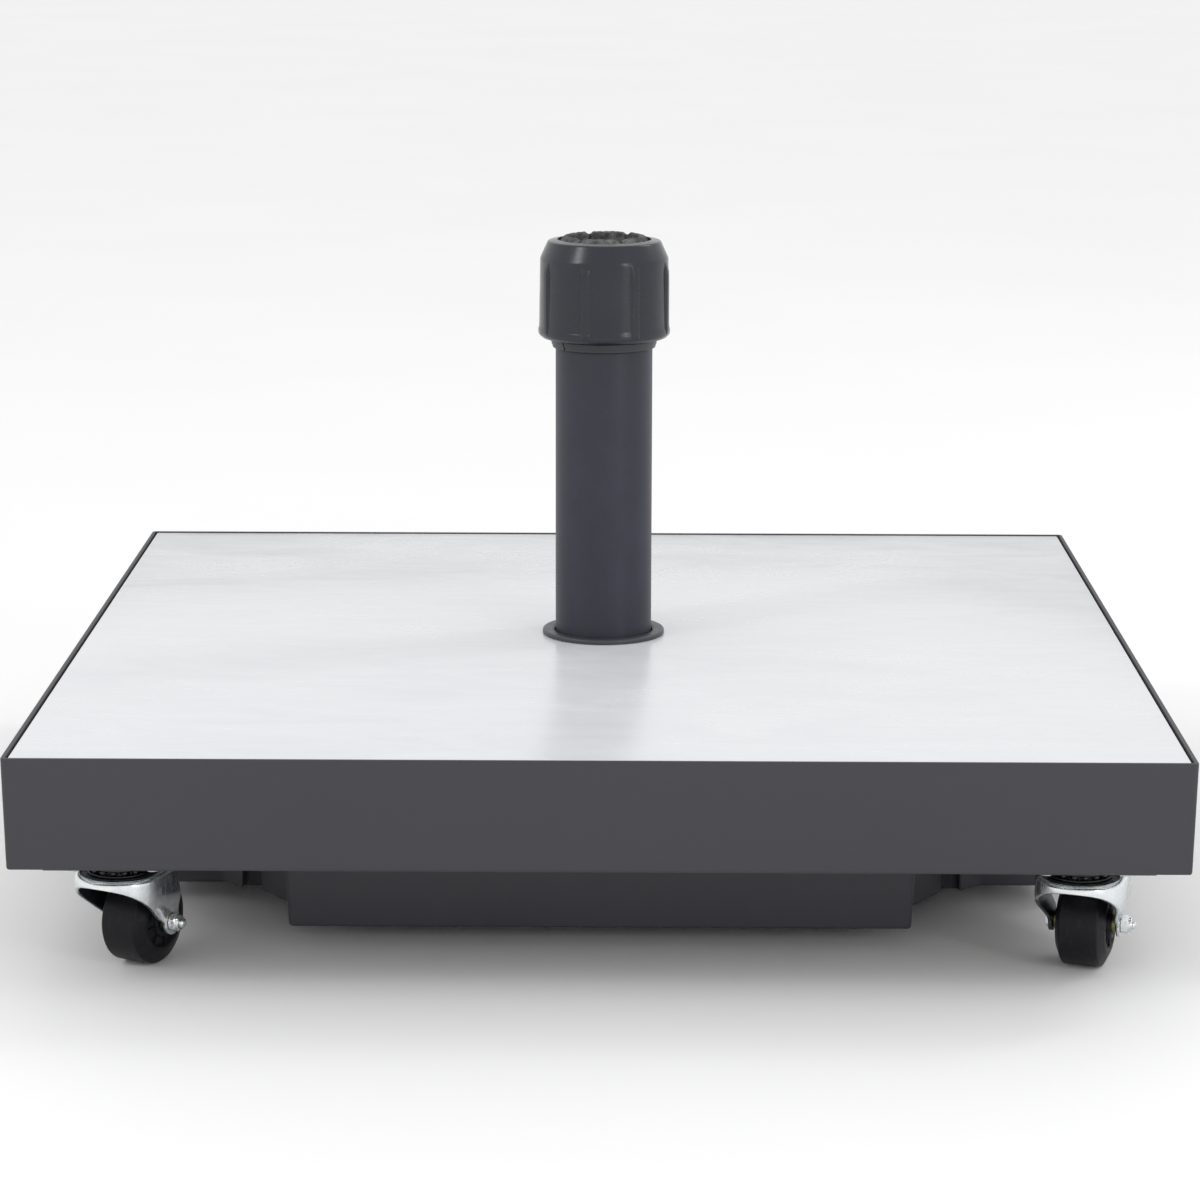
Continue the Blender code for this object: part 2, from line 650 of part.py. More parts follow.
def make_cap():
    """The hand-turned clamp cap: a coned top, a ribbed grip and a rolled foot."""
    mouth = COLLAR_RING_RADIUS + CAP_THREAD_CLEARANCE + RUNNING
    thread = COLLAR_SLEEVE_RADIUS + CAP_THREAD_CLEARANCE
    rounding = CAP_SHOULDER_ROUNDING
    cone = Vector((TAPER, -1.0)).normalized()
    shoulder_start = Vector((CAP_BODY_RADIUS, CAP_SHOULDER)) - cone * rounding
    body_foot = CAP_BOTTOM + CAP_UNDERCUT + CAP_FOOT_HEIGHT + CAP_FOOT_STEP
    top_edge = CAP_TOP - CAP_TOP_CAMBER
    cap = turned("clamp_cap", [
        (CAP_OPENING, CAP_TOP),
        (CAP_TOP_RADIUS - CAP_TOP_EDGE, top_edge),
        (CAP_TOP_RADIUS + CAP_TOP_EDGE * TAPER, top_edge - CAP_TOP_EDGE),
        (shoulder_start.x, shoulder_start.y),
        (CAP_BODY_RADIUS, CAP_SHOULDER - rounding),
        (CAP_BODY_RADIUS + CAP_DRAFT, body_foot),
        (CAP_FOOT_RADIUS, body_foot - CAP_FOOT_STEP),
        (CAP_FOOT_RADIUS, CAP_BOTTOM + CAP_UNDERCUT),
        (CAP_FOOT_RADIUS - CAP_UNDERCUT, CAP_BOTTOM),
        (mouth, CAP_BOTTOM),
        (mouth, CAP_BOTTOM + CAP_MOUTH_HEIGHT),
        (thread, CAP_BOTTOM + CAP_MOUTH_HEIGHT),
        (thread, CAP_THREAD_TOP),
        (CAP_INNER_RADIUS, CAP_THREAD_TOP),
        (CAP_INNER_RADIUS, TAPER_BOTTOM),
        (CAP_TAPER_TOP_RADIUS, CAP_LEDGE),
        (CAP_OPENING, CAP_LEDGE),
    ], TUBE_STEPS)
    rib_top = CAP_SHOULDER - RIB_TOP_BELOW_SHOULDER
    rib_foot = body_foot - CAP_FOOT_STEP
    core = CAP_INNER_RADIUS + CAP_WALL / 3
    for number in range(RIB_COUNT):
        rings = []
        for height, proud in ((rib_foot, RIB_PROUD), (rib_top - RIB_TOP_SLOPE, RIB_PROUD), (rib_top, -CAP_WALL / 4)):
            crest = CAP_BODY_RADIUS + proud
            rings.append([
                (core, -RIB_WIDTH / 2, height),
                (crest, -RIB_CREST / 2, height),
                (crest, RIB_CREST / 2, height),
                (core, RIB_WIDTH / 2, height),
            ])
        rib = loft(f"cap_rib_{number + 1}", rings, cutters)
        rib.rotation_euler.z = RIB_FIRST_ANGLE + 2 * math.pi * number / RIB_COUNT
        combine(cap, rib, "UNION")
    return as_part(cap, surface("cap_plastic", (0.060, 0.066, 0.076), 0.3))


# ---------------------------------------------------------------- castors

def make_mount_plate():
    plate = extruded("mount_plate_pattern", rounded_square(MOUNT_PLATE_SIDE / 2, MOUNT_PLATE_CORNER),
                     MOUNT_PLATE_BOTTOM, CASTOR_HEIGHT)
    boss_bottom = FORK_TOP + RACE_HEIGHT + 2 * FIT
    boss = rod("mount_boss", MOUNT_BOSS_RADIUS, boss_bottom, CASTOR_HEIGHT - MOUNT_PLATE_THICKNESS / 2, SMALL_STEPS)
    combine(plate, boss, "UNION")
    combine(plate, rod("mount_pin_hole", KINGPIN_RADIUS + FIT, 0.0, CASTOR_HEIGHT + FIT), "DIFFERENCE")
    spread = MOUNT_HOLE_SPACING / 2
    for number, (x, y) in enumerate(((1, 1), (-1, 1), (-1, -1), (1, -1)), start=1):
        hole = rod(f"mount_hole_{number}", MOUNT_HOLE_RADIUS, 0.0, CASTOR_HEIGHT + FIT, HOLE_STEPS // 2,
                   (x * spread, y * spread))
        combine(plate, hole, "DIFFERENCE")
    return plate


def make_corner_plate():
    """Plate under the frame's corner. Its chamfered corner points to the middle of the base."""
    half = CORNER_PLATE_SIDE / 2
    outline = [
        (half, half),
        (-half, half),
        (-half, -half + CORNER_PLATE_CHAMFER),
        (-half + CORNER_PLATE_CHAMFER, -half),
        (half, -half),
    ]
    bottom = CASTOR_HEIGHT + FIT
    return extruded("corner_plate_pattern", outline, bottom, bottom + CORNER_PLATE_THICKNESS)


def make_ball_race():
    middle = FORK_TOP + FIT + RACE_HEIGHT / 2
    section = arc((RACE_RADIUS, middle), RACE_HEIGHT / 2, math.pi / 2, -3 * math.pi / 2, 2 * CORNER_STEPS)[:-1]
    return turned("ball_race_pattern", section, SMALL_STEPS)


def make_kingpin():
    """Rivet that holds the fork under the mount plate."""
    head_top = FORK_TOP - FORK_SHEET - FIT
    head_bottom = head_top - KINGPIN_HEAD_HEIGHT
    return turned("kingpin_pattern", [
        (0.0, CASTOR_HEIGHT - FIT),
        (KINGPIN_RADIUS, CASTOR_HEIGHT - FIT),
        (KINGPIN_RADIUS, head_top),
        (KINGPIN_HEAD_RADIUS, head_top),
        (KINGPIN_HEAD_RADIUS, head_bottom + KINGPIN_HEAD_HEIGHT / 2),
        (KINGPIN_RADIUS, head_bottom),
        (0.0, head_bottom),
    ], HOLE_STEPS)


def fork_plan(half_width, back, chamfer):
    """Fork's plan: round in front, straight-sided behind. The wheel trails towards +Y."""
    front = arc((0.0, 0.0), half_width, math.pi, 2 * math.pi, HOLE_STEPS)
    return front + [
        (half_width, back - chamfer),
        (half_width - chamfer, back),
        (chamfer - half_width, back),
        (-half_width, back - chamfer),
    ]


def fork_side():
    """Fork's side view as (back, up) points: the leg's front edge sweeps down to the axle boss."""
    front = -FORK_CROWN_RADIUS - FIT
    top = FORK_TOP + FIT
    sweep = [(back, WHEEL_RADIUS + up) for back, up in FORK_FRONT_EDGE]
    boss = arc((CASTOR_TRAIL, WHEEL_RADIUS), FORK_BOSS_RADIUS, math.pi, 2 * math.pi, 2 * CORNER_STEPS)
    return [(front, FORK_TOP - FORK_SKIRT)] + sweep + boss + [(FORK_CROWN_BACK, top), (front, top)]


def make_fork():
    """Pressed fork: a round crown, and two legs that step inwards to flat ends around the axle."""
    below = WHEEL_RADIUS - 2 * FORK_BOSS_RADIUS
    back = CASTOR_TRAIL + FORK_BOSS_RADIUS + FIT
    rounding = FORK_EDGE_ROUNDING
    softening = rounding * (1 - math.cos(math.pi / 4))
    outer = [
        (below, FORK_AXLE_HALF_WIDTH, FIT),
        (FORK_JOGGLE_BOTTOM, FORK_AXLE_HALF_WIDTH, FIT),
        (FORK_JOGGLE_TOP, FORK_CROWN_RADIUS, FORK_CROWN_CHAMFER / 2),
        (FORK_TOP - rounding, FORK_CROWN_RADIUS, FORK_CROWN_CHAMFER),
        (FORK_TOP - softening, FORK_CROWN_RADIUS - softening, FORK_CROWN_CHAMFER),
        (FORK_TOP, FORK_CROWN_RADIUS - rounding, FORK_CROWN_CHAMFER),
    ]
    fork = loft("fork_pattern", [at_height(fork_plan(half, back, chamfer), z) for z, half, chamfer in outer])
    reach = 2 * FORK_CROWN_RADIUS
    side = extruded("fork_side", fork_side(), -reach, reach, cutters)
    side.data.transform(Matrix(((0, 0, 1, 0), (1, 0, 0, 0), (0, 1, 0, 0), (0, 0, 0, 1))))
    combine(fork, side, "INTERSECT")
    ceiling = FORK_TOP - FORK_SHEET
    inner = [
        (below - FORK_SHEET, FORK_AXLE_HALF_WIDTH),
        (FORK_JOGGLE_BOTTOM, FORK_AXLE_HALF_WIDTH),
        (FORK_JOGGLE_TOP, FORK_CROWN_RADIUS),
        (ceiling - rounding / 2, FORK_CROWN_RADIUS),
        (ceiling, FORK_CROWN_RADIUS - rounding / 2),
    ]
    inner_rings = [at_height(fork_plan(half - FORK_SHEET, 2 * back, FIT), z) for z, half in inner]
    combine(fork, loft("fork_inside", inner_rings, cutters), "DIFFERENCE")
    combine(fork, rod("fork_pin_hole", KINGPIN_RADIUS + FIT, ceiling - rounding, FORK_TOP + rounding), "DIFFERENCE")
    axle_hole = on_side(rod("fork_axle_hole", AXLE_RADIUS + FIT, -reach, reach))
    axle_hole.location = (0.0, CASTOR_TRAIL, WHEEL_RADIUS)
    combine(fork, axle_hole, "DIFFERENCE")
    return fork


def make_wheel():
    half = WHEEL_WIDTH / 2
    hub_half = WHEEL_HUB_WIDTH / 2
    bore = BUSH_RADIUS + RUNNING
    tread = WHEEL_TREAD_WIDTH / 2
    dish = half - WHEEL_DISH_DEPTH
    upper = [
        (bore, hub_half),
        (WHEEL_HUB_RADIUS, hub_half),
        (WHEEL_HUB_RADIUS, dish),
        (WHEEL_DISH_RADIUS, dish),
        (WHEEL_FACE_RADIUS, half),
        (WHEEL_RADIUS - WHEEL_TREAD_ROUNDING, tread),
        (WHEEL_RADIUS, tread - WHEEL_TREAD_ROUNDING),
    ]
    lower = [(radius, -height) for radius, height in reversed(upper)]
    return turned("wheel_pattern", upper + lower, WHEEL_STEPS)


def make_bush():
    half = BUSH_LENGTH / 2
    bore = AXLE_RADIUS + FIT
    return turned("bush_pattern", [(bore, half), (BUSH_RADIUS, half), (BUSH_RADIUS, -half), (bore, -half)], HOLE_STEPS)


def make_axle():
    head_radius = hexagon_radius(AXLE_NUT_ACROSS_FLATS)
    axle = rod("axle_pattern", head_radius, -AXLE_SEAT - AXLE_HEAD_THICKNESS, -AXLE_SEAT, 6, collection=parts)
    shank = rod("axle_shank", AXLE_RADIUS, -AXLE_SEAT - AXLE_HEAD_THICKNESS / 2, AXLE_END)
    return combine(axle, shank, "UNION")


def make_nut():
    radius = hexagon_radius(AXLE_NUT_ACROSS_FLATS)
    nut = rod("nut_pattern", radius, AXLE_SEAT, AXLE_SEAT + AXLE_NUT_THICKNESS, 6, collection=parts)
    return combine(nut, rod("nut_hole", AXLE_RADIUS + FIT, 0.0, 2 * AXLE_SEAT), "DIFFERENCE")


def make_castors():
    """Four castors from one set of patterns, each turned to its own yaw about its swivel axis."""
    zinc = surface("zinc_plate", (0.64, 0.67, 0.70), 0.3, 1.0)
    wheel_plastic = surface("wheel_plastic", (0.020, 0.020, 0.022), 0.5)
    brass = surface("bush_brass", (0.56, 0.50, 0.30), 0.4, 1.0)
    race_steel = surface("race_steel", (0.20, 0.19, 0.17), 0.45, 1.0)
    paint = surface("corner_plate_paint", (0.050, 0.049, 0.053), 0.6)
    fixed = {
        "corner_plate": (settle(make_corner_plate()), paint),
        "mount_plate": (settle(make_mount_plate()), zinc),
        "kingpin": (settle(make_kingpin()), zinc),
    }
    swivelling = {
        "ball_race": (settle(make_ball_race()), race_steel),
        "fork": (settle(make_fork()), zinc),
    }
    on_axle = {
        "wheel": (on_side(settle(make_wheel())), wheel_plastic),
        "bush": (on_side(settle(make_bush())), brass),
        "axle_bolt": (on_side(settle(make_axle())), zinc),
        "axle_nut": (on_side(settle(make_nut())), zinc),
    }
    for corner, yaw in CASTOR_YAW.items():
        side_x = 1 if corner.endswith("right") else -1
        side_y = 1 if corner.startswith("rear") else -1
        mount = add_object(f"{corner}_mount", None, parts)
        mount.location = (side_x * CASTOR_AXIS, side_y * CASTOR_AXIS, 0.0)
        swivel = add_object(f"{corner}_swivel", None, parts)
        swivel.parent = mount
        swivel.rotation_euler.z = yaw
        axle = add_object(f"{corner}_axle", None, parts)
        axle.parent = swivel
        axle.location = (0.0, CASTOR_TRAIL, WHEEL_RADIUS)
        for group, holder in ((fixed, mount), (swivelling, swivel), (on_axle, axle)):
            for piece, (pattern, material) in group.items():
                copy = add_object(f"{corner}_{piece}", pattern.data, parts)
                copy.parent = holder
                as_part(copy, material)
        plate = bpy.data.objects[f"{corner}_corner_plate"]
        plate.rotation_euler.z = math.atan2(side_y, side_x) - math.pi / 4
    for group in (fixed, swivelling, on_axle):
        for pattern, _ in group.values():
            bpy.data.objects.remove(pattern, do_unlink=True)


clear_scene()
make_frame()
make_top_plate()
make_tray()
make_casting()
make_tube()
make_foot_bolts()
make_cover_ring()
make_pole_guide()
make_collar()
make_pressure_ring()
make_jaws()
make_cap()
make_castors()
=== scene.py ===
"""Looks of a wheeled parasol base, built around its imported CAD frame. Metres, +Z up, +Y to the back."""
import json
import math

import bmesh
import bpy
from mathutils import Matrix, Vector, noise


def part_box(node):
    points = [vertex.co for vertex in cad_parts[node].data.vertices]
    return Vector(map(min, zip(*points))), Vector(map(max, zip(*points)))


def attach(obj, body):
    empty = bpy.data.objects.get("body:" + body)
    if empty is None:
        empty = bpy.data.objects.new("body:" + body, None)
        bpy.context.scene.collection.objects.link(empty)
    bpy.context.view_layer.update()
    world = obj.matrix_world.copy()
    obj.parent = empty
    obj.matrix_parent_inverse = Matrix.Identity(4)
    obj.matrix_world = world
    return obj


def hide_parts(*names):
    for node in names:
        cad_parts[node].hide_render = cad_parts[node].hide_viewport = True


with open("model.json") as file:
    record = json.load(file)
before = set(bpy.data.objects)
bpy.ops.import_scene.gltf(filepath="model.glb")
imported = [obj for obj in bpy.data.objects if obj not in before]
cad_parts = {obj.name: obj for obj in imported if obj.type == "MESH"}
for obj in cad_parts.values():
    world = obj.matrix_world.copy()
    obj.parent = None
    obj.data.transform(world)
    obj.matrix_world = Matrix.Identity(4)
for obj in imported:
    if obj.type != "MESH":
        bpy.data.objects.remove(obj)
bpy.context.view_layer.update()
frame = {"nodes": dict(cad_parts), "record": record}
record = frame["record"]
CORNERS = ("front_left", "front_right", "rear_left", "rear_right")
joints = {joint["name"]: joint for joint in record["behaviour"]["joints"]}


# ---------------------------------------------------------------- camera

def make_camera():
    yaw, pitch, roll = (math.radians(a) for a in (-0.457, 12.03, -0.134))
    ahead = Vector((math.sin(yaw) * math.cos(pitch), math.cos(yaw) * math.cos(pitch), -math.sin(pitch)))
    side = Vector((math.cos(yaw), -math.sin(yaw), 0.0))
    down = ahead.cross(side)
    right = side * math.cos(roll) + down * math.sin(roll)
    up = side * math.sin(roll) - down * math.cos(roll)
    data = bpy.data.cameras.new("camera")
    data.sensor_width = 36.0
    data.lens = 109.61
    data.clip_start = 0.05
    data.clip_end = 200.0
    camera = bpy.data.objects.new("camera", data)
    bpy.context.scene.collection.objects.link(camera)
    turn = Matrix((right, up, -ahead)).transposed().to_4x4()
    camera.matrix_world = Matrix.Translation((0.01694, -2.41339, 0.68342)) @ turn
    bpy.context.scene.camera = camera


# ---------------------------------------------------------------- material nodes

class Graph:
    """Small helper that adds and links shader nodes of one material."""

    def __init__(self, name, colour, roughness, metallic=0.0, specular=0.5):
        self.material = bpy.data.materials.new(name)
        self.material.use_nodes = True
        self.tree = self.material.node_tree
        self.shader = self.tree.nodes["Principled BSDF"]
        self.shader.inputs["Base Color"].default_value = (*colour, 1.0)
        self.shader.inputs["Roughness"].default_value = roughness
        self.shader.inputs["Metallic"].default_value = metallic
        self.shader.inputs["Specular IOR Level"].default_value = specular
        self.colour = colour
        self.place = self.tree.nodes.new("ShaderNodeTexCoord").outputs["Object"]

    def feed(self, value, socket):
        if isinstance(value, (int, float, tuple)):
            socket.default_value = value
        else:
            self.tree.links.new(value, socket)

    def stretched(self, stretch):
        mapping = self.tree.nodes.new("ShaderNodeMapping")
        mapping.inputs["Scale"].default_value = stretch
        self.feed(self.place, mapping.inputs["Vector"])
        return mapping.outputs["Vector"]

    def noise(self, scale, detail=3.0, rough=0.5, stretch=None, distortion=0.0):
        node = self.tree.nodes.new("ShaderNodeTexNoise")
        node.inputs["Scale"].default_value = scale
        node.inputs["Detail"].default_value = detail
        node.inputs["Roughness"].default_value = rough
        node.inputs["Distortion"].default_value = distortion
        self.feed(self.stretched(stretch) if stretch else self.place, node.inputs["Vector"])
        return node.outputs["Fac"]

    def cells(self, scale):
        node = self.tree.nodes.new("ShaderNodeTexVoronoi")
        node.inputs["Scale"].default_value = scale
        self.feed(self.place, node.inputs["Vector"])
        return node.outputs["Distance"]

    def span(self, value, low, high, to_low, to_high):
        node = self.tree.nodes.new("ShaderNodeMapRange")
        self.feed(value, node.inputs["Value"])
        node.inputs["From Min"].default_value = low
        node.inputs["From Max"].default_value = high
        node.inputs["To Min"].default_value = to_low
        node.inputs["To Max"].default_value = to_high
        return node.outputs["Result"]

    def maths(self, operation, first, second=0.0):
        node = self.tree.nodes.new("ShaderNodeMath")
        node.operation = operation
        self.feed(first, node.inputs[0])
        self.feed(second, node.inputs[1])
        return node.outputs["Value"]

    def weigh(self, first, share, second, other):
        """Sum of two values, each times its own share."""
        return self.maths("ADD", self.maths("MULTIPLY", first, share), self.maths("MULTIPLY", second, other))

    def blend(self, factor, first, second):
        node = self.tree.nodes.new("ShaderNodeMix")
        node.data_type = "RGBA"
        self.feed(factor, node.inputs[0])
        self.feed((*first, 1.0) if isinstance(first, tuple) else first, node.inputs[6])
        self.feed((*second, 1.0) if isinstance(second, tuple) else second, node.inputs[7])
        return node.outputs[2]

    def tint(self, factor, spread):
        """Base colour that swings by a share of itself with factor."""
        low = tuple(c * (1 - spread) for c in self.colour)
        high = tuple(min(1.0, c * (1 + spread)) for c in self.colour)
        return self.blend(factor, low, high)

    def paint(self, colour):
        self.feed(colour, self.shader.inputs["Base Color"])

    def gloss(self, value):
        self.feed(value, self.shader.inputs["Roughness"])

    def bump(self, height, depth, strength=1.0):
        node = self.tree.nodes.new("ShaderNodeBump")
        node.inputs["Strength"].default_value = strength
        node.inputs["Distance"].default_value = depth
        self.feed(height, node.inputs["Height"])
        self.feed(node.outputs["Normal"], self.shader.inputs["Normal"])

    def along(self, axis):
        node = self.tree.nodes.new("ShaderNodeSeparateXYZ")
        self.feed(self.place, node.inputs["Vector"])
        return node.outputs[axis]

    def off_axis(self):
        """Distance from the object's own upright axis."""
        node = self.tree.nodes.new("ShaderNodeVectorMath")
        node.operation = "LENGTH"
        self.feed(self.stretched((1.0, 1.0, 0.0)), node.inputs[0])
        return node.outputs["Value"]


def powder_coat(name, colour, roughness):
    """Fine-textured powder coat: orange peel, faint clouding and slightly rubbed high spots."""
    g = Graph(name, colour, roughness)
    peel = g.noise(1400.0, 2.0, 0.55)
    cloud = g.noise(9.0, 4.0, 0.6)
    grain = g.noise(5200.0, 1.0, 0.5)
    tone = g.weigh(cloud, 0.6, peel, 0.4)
    g.paint(g.tint(g.span(tone, 0.35, 0.65, 0.0, 1.0), 0.07))
    g.gloss(g.span(g.maths("ADD", grain, cloud), 0.7, 1.3, roughness - 0.06, roughness + 0.07))
    g.bump(g.maths("ADD", peel, g.maths("MULTIPLY", grain, 0.3)), 0.00006, 0.55)
    return g.material


def tube_coat():
    """Structured powder coat of the pole tube, a little bluer and glossier, with soft mottling."""
    g = Graph("tube_powder_coat", (0.033, 0.034, 0.049), 0.44, specular=0.28)
    peel = g.noise(1100.0, 2.5, 0.6)
    cloud = g.noise(26.0, 5.0, 0.62)
    streak = g.noise(30.0, 3.0, 0.5, stretch=(1.0, 1.0, 0.08))
    tone = g.weigh(cloud, 0.55, peel, 0.45)
    warm = g.blend(g.span(streak, 0.35, 0.65, 0.0, 1.0), (0.0340, 0.0340, 0.0480), (0.0370, 0.0395, 0.0570))
    g.paint(g.blend(g.span(tone, 0.34, 0.66, 0.0, 1.0), (0.0285, 0.0290, 0.0390), warm))
    g.gloss(g.span(peel, 0.3, 0.7, 0.36, 0.50))
    g.bump(peel, 0.00008, 0.6)
    return g.material


def ceramic():
    """Pale grey stoneware slab: faint clouds drawn out along its length, fine fleck and a satin glaze."""
    g = Graph("stoneware_plate", (0.700, 0.712, 0.735), 0.24)
    cloud = g.noise(6.0, 6.0, 0.62, stretch=(0.7, 1.0, 1.0), distortion=0.35)
    wisp = g.noise(30.0, 8.0, 0.68, stretch=(0.35, 1.0, 1.0), distortion=0.7)
    speckle = g.noise(420.0, 3.0, 0.6)
    pinhole = g.cells(260.0)
    tone = g.weigh(cloud, 0.45, wisp, 0.55)
    base = g.blend(g.span(tone, 0.36, 0.66, 0.0, 1.0), (0.655, 0.676, 0.700), (0.735, 0.742, 0.760))
    flecked = g.blend(g.span(speckle, 0.60, 0.74, 0.0, 0.14), base, (0.62, 0.65, 0.67))
    g.paint(g.blend(g.span(pinhole, 0.0, 0.07, 0.10, 0.0), flecked, (0.58, 0.60, 0.62)))
    g.gloss(g.span(tone, 0.38, 0.62, 0.20, 0.29))
    g.bump(speckle, 0.000006, 0.2)
    return g.material


def moulded_plastic(name, colour, roughness, grain=900.0, depth=0.00003, specular=0.5):
    """Injection-moulded plastic: fine spark-eroded grain, slow flow clouds and light handling marks."""
    g = Graph(name, colour, roughness, specular=specular)
    fine = g.noise(grain, 2.0, 0.55)
    flow = g.noise(34.0, 3.0, 0.55, distortion=0.6)
    marks = g.noise(75.0, 4.0, 0.6)
    g.paint(g.tint(g.span(flow, 0.35, 0.65, 0.0, 1.0), 0.06))
    wear = g.weigh(fine, 0.5, marks, 0.5)
    g.gloss(g.span(wear, 0.35, 0.65, max(0.05, roughness - 0.07), roughness + 0.08))
    g.bump(fine, depth, 0.5)
    return g.material


def rubber_grain():
    """Rubbery jaw compound: pitted, dusty on its high spots."""
    g = Graph("jaw_rubber", (0.105, 0.104, 0.104), 0.85, specular=0.3)
    pits = g.cells(420.0)
    crumb = g.noise(650.0, 4.0, 0.7)
    dust = g.noise(150.0, 4.0, 0.7)
    tone = g.blend(g.span(dust, 0.42, 0.62, 0.0, 1.0), (0.060, 0.059, 0.060), (0.165, 0.163, 0.164))
    g.paint(g.blend(g.span(pits, 0.0, 0.28, 1.0, 0.0), tone, (0.030, 0.030, 0.031)))
    g.gloss(g.span(crumb, 0.3, 0.7, 0.72, 0.95))
    g.bump(g.maths("ADD", pits, g.maths("MULTIPLY", crumb, 0.8)), 0.0004, 0.8)
    return g.material


def zinc(name="zinc_plate", colour=(0.76, 0.79, 0.81), roughness=0.26, grime=0.35):
    """Bright electroplated zinc: rolled sheet lines, passivation bloom and greasy smears."""
    g = Graph(name, colour, roughness, metallic=1.0)
    bloom = g.noise(70.0, 4.0, 0.6, distortion=0.9)
    rolled = g.noise(900.0, 2.0, 0.5, stretch=(0.05, 1.0, 1.0))
    spangle = g.cells(520.0)
    smear = g.noise(48.0, 5.0, 0.68, distortion=1.4)
    cool = g.blend(g.span(bloom, 0.38, 0.62, 0.0, 1.0), (0.70, 0.755, 0.785), (0.815, 0.825, 0.815))
    g.paint(g.blend(g.span(smear, 0.56, 0.74, 0.0, grime), cool, (0.40, 0.41, 0.38)))
    wear = g.weigh(rolled, 0.5, smear, 0.5)
    g.gloss(g.span(wear, 0.35, 0.65, roughness - 0.08, roughness + 0.14))
    g.bump(g.maths("ADD", rolled, g.maths("MULTIPLY", spangle, 0.5)), 0.00002, 0.5)
    return g.material


def fork_zinc():
    """Zinc plated pressing: real grease round its ball race plus a painted dark reflection there, painted
    shade inside, and a painted dark reflection of the shadowed floor on its own -X flank. All four forks
    share one mesh and so this one material."""
    edge = 0.0008
    grease_and_reflection_rim = 0.0024
    lining = 0.0012
    flank_front = -0.0135
    flank_full = -0.0085
    g = Graph("fork_zinc", (0.78, 0.80, 0.81), 0.24, metallic=1.0)
    bloom = g.noise(70.0, 4.0, 0.6, distortion=0.9)
    smear = g.noise(60.0, 5.0, 0.68, distortion=1.2)
    rolled = g.noise(900.0, 2.0, 0.5, stretch=(1.0, 1.0, 0.05))
    cool = g.blend(g.span(bloom, 0.38, 0.62, 0.0, 1.0), (0.73, 0.775, 0.80), (0.84, 0.85, 0.845))
    ragged = g.maths("MULTIPLY", g.span(smear, 0.3, 0.7, -0.5, 0.5), 0.0006)
    # Crown top inside the race: real grease, darkened further by a painted dark reflection of the frame's
    # underside.
    on_top = g.span(g.along("Z"), FORK_TOP - lining - edge, FORK_TOP - lining, 0.0, 1.0)
    around = g.maths("ADD", g.off_axis(), ragged)
    ring = g.span(around, CROWN_R - grease_and_reflection_rim - edge, CROWN_R - grease_and_reflection_rim, 1.0, 0.0)
    grease_and_reflection = g.maths("MULTIPLY", on_top, ring)
    across, back, up = g.along("X"), g.along("Y"), g.along("Z")
    # Inner faces of the legs and the underside of the crown: painted shade where little light reaches.
    combine = g.tree.nodes.new("ShaderNodeCombineXYZ")
    g.feed(across, combine.inputs["X"])
    g.feed(g.maths("MINIMUM", back, 0.0), combine.inputs["Y"])
    reach = g.tree.nodes.new("ShaderNodeVectorMath")
    reach.operation = "LENGTH"
    g.feed(combine.outputs["Vector"], reach.inputs[0])
    wall = g.span(up, JOGGLE_LOW, JOGGLE_HIGH, AXLE_HALF, CROWN_R)
    depth = g.maths("SUBTRACT", wall, reach.outputs["Value"])
    lined = g.span(depth, lining, 0.0019, 0.0, 1.0)
    below = g.span(up, FORK_TOP - 0.0018, FORK_TOP - lining, 1.0, 0.0)
    painted_inner_shade = g.maths("MULTIPLY", lined, below)
    # -X flank behind the rounded front: painted dark reflection of the shadowed floor under the base.
    uneven = g.maths("ADD", back, g.maths("MULTIPLY", ragged, 2.0))
    behind = g.span(uneven, flank_front, flank_full, 0.0, 0.96)
    outward = g.span(g.maths("MULTIPLY", across, -1.0), 0.010, 0.018, 0.0, 1.0)
    flank_painted_reflection = g.maths("MULTIPLY", behind, outward)
    # One mask for the grease, the painted shade and the painted dark reflections. The dark colour below
    # paints them all, and these areas are also rougher and less metallic.
    grease_and_painted_shade = g.maths("MAXIMUM", g.maths("MAXIMUM", grease_and_reflection, painted_inner_shade), flank_painted_reflection)
    dark = g.blend(g.span(smear, 0.4, 0.66, 0.0, 1.0), (0.010, 0.014, 0.018), (0.035, 0.042, 0.050))
    g.paint(g.blend(grease_and_painted_shade, cool, dark))
    wear = g.weigh(rolled, 0.5, smear, 0.5)
    g.gloss(g.maths("ADD", g.span(wear, 0.35, 0.65, 0.16, 0.34), g.maths("MULTIPLY", grease_and_painted_shade, 0.16)))
    g.feed(g.span(grease_and_painted_shade, 0.0, 1.0, 1.0, 0.35), g.shader.inputs["Metallic"])
    g.bump(rolled, 0.00002, 0.5)
    return g.material


def turned_metal(name, colour, roughness):
    """Turned or cold-headed steel with fine ring marks and dull patches."""
    g = Graph(name, colour, roughness, metallic=1.0)
    rings = g.noise(2200.0, 2.0, 0.5, stretch=(1.0, 0.1, 0.1))
    patch = g.noise(160.0, 4.0, 0.65)
    g.paint(g.tint(g.span(patch, 0.35, 0.65, 0.0, 1.0), 0.14))
    g.gloss(g.span(g.maths("ADD", rings, patch), 0.7, 1.3, roughness - 0.08, roughness + 0.14))
    g.bump(rings, 0.00002, 0.4)
    return g.material


